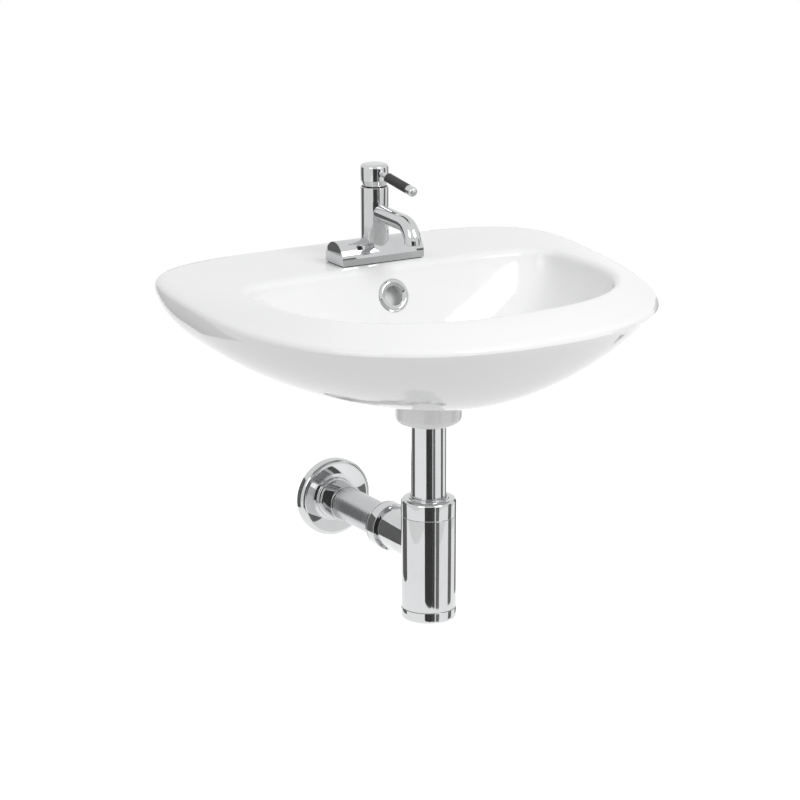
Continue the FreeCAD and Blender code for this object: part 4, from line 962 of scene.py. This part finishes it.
def along_outlet(name, corners, sides=128, steps=8):
    return lathe(name, corners, sides, steps, at_outlet_pipe)


nut_back, nut_shoulder, nut_front = 120.0, 123.0, 138.0
nut_radius, groove_radius, groove_back, groove_front = 26.0, 25.2, 124.0, 124.8
outlet_nut = along_outlet("pipe_nut", [(nut_hole, nut_back, 0.3), (nut_radius, nut_back, 1.5),
                                       (nut_radius, groove_back, 0.4), (groove_radius, groove_back, 0.1),
                                       (groove_radius, groove_front, 0.1), (nut_radius, groove_front, 0.4),
                                       (nut_radius, nut_front, 0.5), (stub_radius + 0.1, nut_front),
                                       (stub_radius + 0.1, nut_shoulder), (nut_hole, nut_shoulder)])
dress(outlet_nut, chrome, "basin", "polished_chrome", "outlet_nut")
pipe_seal = along_outlet("pipe_seal", [(around_pipe, nut_shoulder), (stub_radius, nut_shoulder),
                                       (stub_radius, stub_end), (around_pipe, stub_end)])
dress(pipe_seal, rubber, "basin", "black_rubber", "outlet_seal")
pipe_start, mark_radius = -35.0, pipe_radius - 0.3
pipe = along_outlet("outlet_pipe", [(pipe_bore, pipe_start), (pipe_radius, pipe_start, 0.4),
                                    (pipe_radius, -0.5), (mark_radius, -0.3), (mark_radius, 0.3),
                                    (pipe_radius, 0.5), (pipe_radius, pipe_end, 0.4), (pipe_bore, pipe_end)])
satin = Finish("satin_chrome", Metallic=1.0)
satin_grain = satin.noise(20.0, 3.0, (1.0, 90.0, 1.0))
satin.set(Base_Color=satin.blend(satin_grain, (0.47, 0.48, 0.49, 1.0), (0.58, 0.59, 0.6, 1.0)))
satin.set(Roughness=0.2 + 0.16 * satin_grain)
satin.bump(satin_grain, 0.00002)
dress(pipe, satin, "basin", "satin_chrome", "waste_pipe")


# The wall rose is pressed brass, chromed: a rounded rim round a dished face, a small bead, and
# a sleeve that slides on the pipe until the rim meets the wall.

rose_radius, rose_rim, rose_inner, rose_wall = 44.0, 13.0, 42.0, 2.0
face_radius, face_front, bead_radius, bead_front = 27.0, 8.0, 23.0, 12.0
slide_radius, slide_front, slide_bore = 20.6, 36.0, 19.2
rose = along_outlet("rose_shell", [(rose_inner, 0.0), (rose_radius, 0.0), (rose_radius, rose_rim, 4.5),
                                   (face_radius, face_front, 3.0), (bead_radius, face_front, 0.6),
                                   (bead_radius, bead_front, 1.0), (slide_radius, bead_front, 0.4),
                                   (slide_radius, slide_front, 0.5), (slide_bore, slide_front),
                                   (slide_bore, face_front - rose_wall),
                                   (face_radius, face_front - rose_wall),
                                   (39.5, rose_rim - rose_wall), (rose_inner, 8.5)])
dress(rose, chrome, "rose", "polished_chrome", "wall_rose")


# The studio is a pale floor far below, a white surround, a large soft lamp high in front on the
# right and a weak one on the left. Grey cards hang round it for the polished chrome to show.

def shown_rays(nodes):
    """Is 1 for the rays that show the background, straight or in metal and glass, and else 0."""
    straight, mirrored, through = [nodes.node("ShaderNodeLightPath", output=ray) for ray in
                                   ("Is Camera Ray", "Is Glossy Ray", "Is Transmission Ray")]
    return straight.maths("MAXIMUM", straight.maths("MAXIMUM", straight, mirrored), through)


def studio_object(name, form, finish):
    made = new_object(name, form)
    made.data.materials.append(finish.material)
    for face in made.data.polygons:
        face.use_smooth = True
    return made


paper = Finish("white_paper", Roughness=0.9, Emission_Strength=1.0)
paper.set(Base_Color=paper.blend(paper.noise(3.0), (0.86, 0.86, 0.86, 1.0), (0.84, 0.84, 0.84, 1.0)))
paper.set(Emission_Color=paper.blend(shown_rays(paper), (0.0, 0.0, 0.0, 1.0), (0.6, 0.6, 0.6, 1.0)))
floor_up, floor_half = -2.6, 9.0
floor = bmesh.new()
floor.faces.new([floor.verts.new((across * floor_half, out * floor_half, floor_up))
                 for across, out in ((-1, -1), (1, -1), (1, 1), (-1, 1))])
studio_object("floor", floor, paper)


def card(name, bearing, spread, shade):
    """Grey card on one bearing, in degrees to the right of straight ahead, that only reflections show."""
    reach, low, high = 1.1, -0.72, 0.2
    cloth = Finish(name, Roughness=1.0)
    cloth.set(Base_Color=cloth.blend(cloth.noise(40.0), (shade,) * 3 + (1.0,), (shade * 0.8,) * 3 + (1.0,)))
    edges = [math.radians(bearing + side * spread) for side in (-1.0, 1.0)]
    feet = [Vector((reach * math.sin(edge), -reach * math.cos(edge), low)) for edge in edges]
    form = bmesh.new()
    corners = feet + [Vector((foot.x, foot.y, high)) for foot in reversed(feet)]
    form.faces.new([form.verts.new(corner) for corner in corners])
    made = studio_object(name, form, cloth)
    made.visible_camera = made.visible_diffuse = made.visible_shadow = False


cards = [(-144.0, 20.0, 0.2), (-27.0, 12.0, 0.09), (-10.0, 5.0, 0.14), (4.0, 6.0, 0.35), (55.0, 9.0, 0.3),
         (102.0, 9.0, 0.12)]
for index, (bearing, spread, shade) in enumerate(cards):
    card("card_" + str(index), bearing, spread, shade)


def lamp(name, place, aim, size, power):
    light = bpy.data.lights.new(name, "AREA")
    light.size = size
    light.energy = power
    holder = bpy.data.objects.new(name, light)
    holder.location = place
    holder.rotation_euler = (Vector(aim) - Vector(place)).to_track_quat("-Z", "Y").to_euler()
    bpy.context.scene.collection.objects.link(holder)


lamp("key", (0.7, -2.5, 2.0), (0.0, -0.2, 0.0), 1.4, 43.0)
lamp("fill", (-2.4, -1.4, 1.5), (0.0, -0.2, 0.0), 1.4, 9.0)

world = bpy.data.worlds.new("studio")
bpy.context.scene.world = world
world.use_nodes = True
surround = Nodes(world.node_tree)
level = surround.node("ShaderNodeMapRange", inputs={"Value": shown_rays(surround), "To Min": 0.66,
                                                    "To Max": 1.0})
backdrop = world.node_tree.nodes["Background"]
surround.feed(backdrop.inputs["Color"], (1.0, 1.0, 1.0, 1.0))
surround.feed(backdrop.inputs["Strength"], level)


# The camera stands in front and to the left and looks slightly down, through a long lens. Its
# place and aim come from fitting the basin to the photograph.

eye = Vector((-1576.5, -2812.2, 761.1)) * MM
aim = Vector((0.0, -220.0, 50.0)) * MM
focal_pixels = 3000.0
picture = 800.0
aim_across, aim_down = 433.13, 281.16
camera = bpy.data.cameras.new("photo_view")
camera.sensor_width = 36.0
camera.lens = focal_pixels / picture * camera.sensor_width
camera.clip_end = 50.0
viewer = bpy.data.objects.new("photo_view", camera)
viewer.location = eye
off_middle = Vector((aim_across - picture / 2.0, picture / 2.0 - aim_down, -focal_pixels))
tilt = Vector((0.0, 0.0, -1.0)).rotation_difference(off_middle)
viewer.rotation_euler = ((aim - eye).to_track_quat("-Z", "Y") @ tilt.inverted()).to_euler()
bpy.context.scene.collection.objects.link(viewer)
bpy.context.scene.camera = viewer
bpy.context.scene.view_settings.view_transform = "Standard"
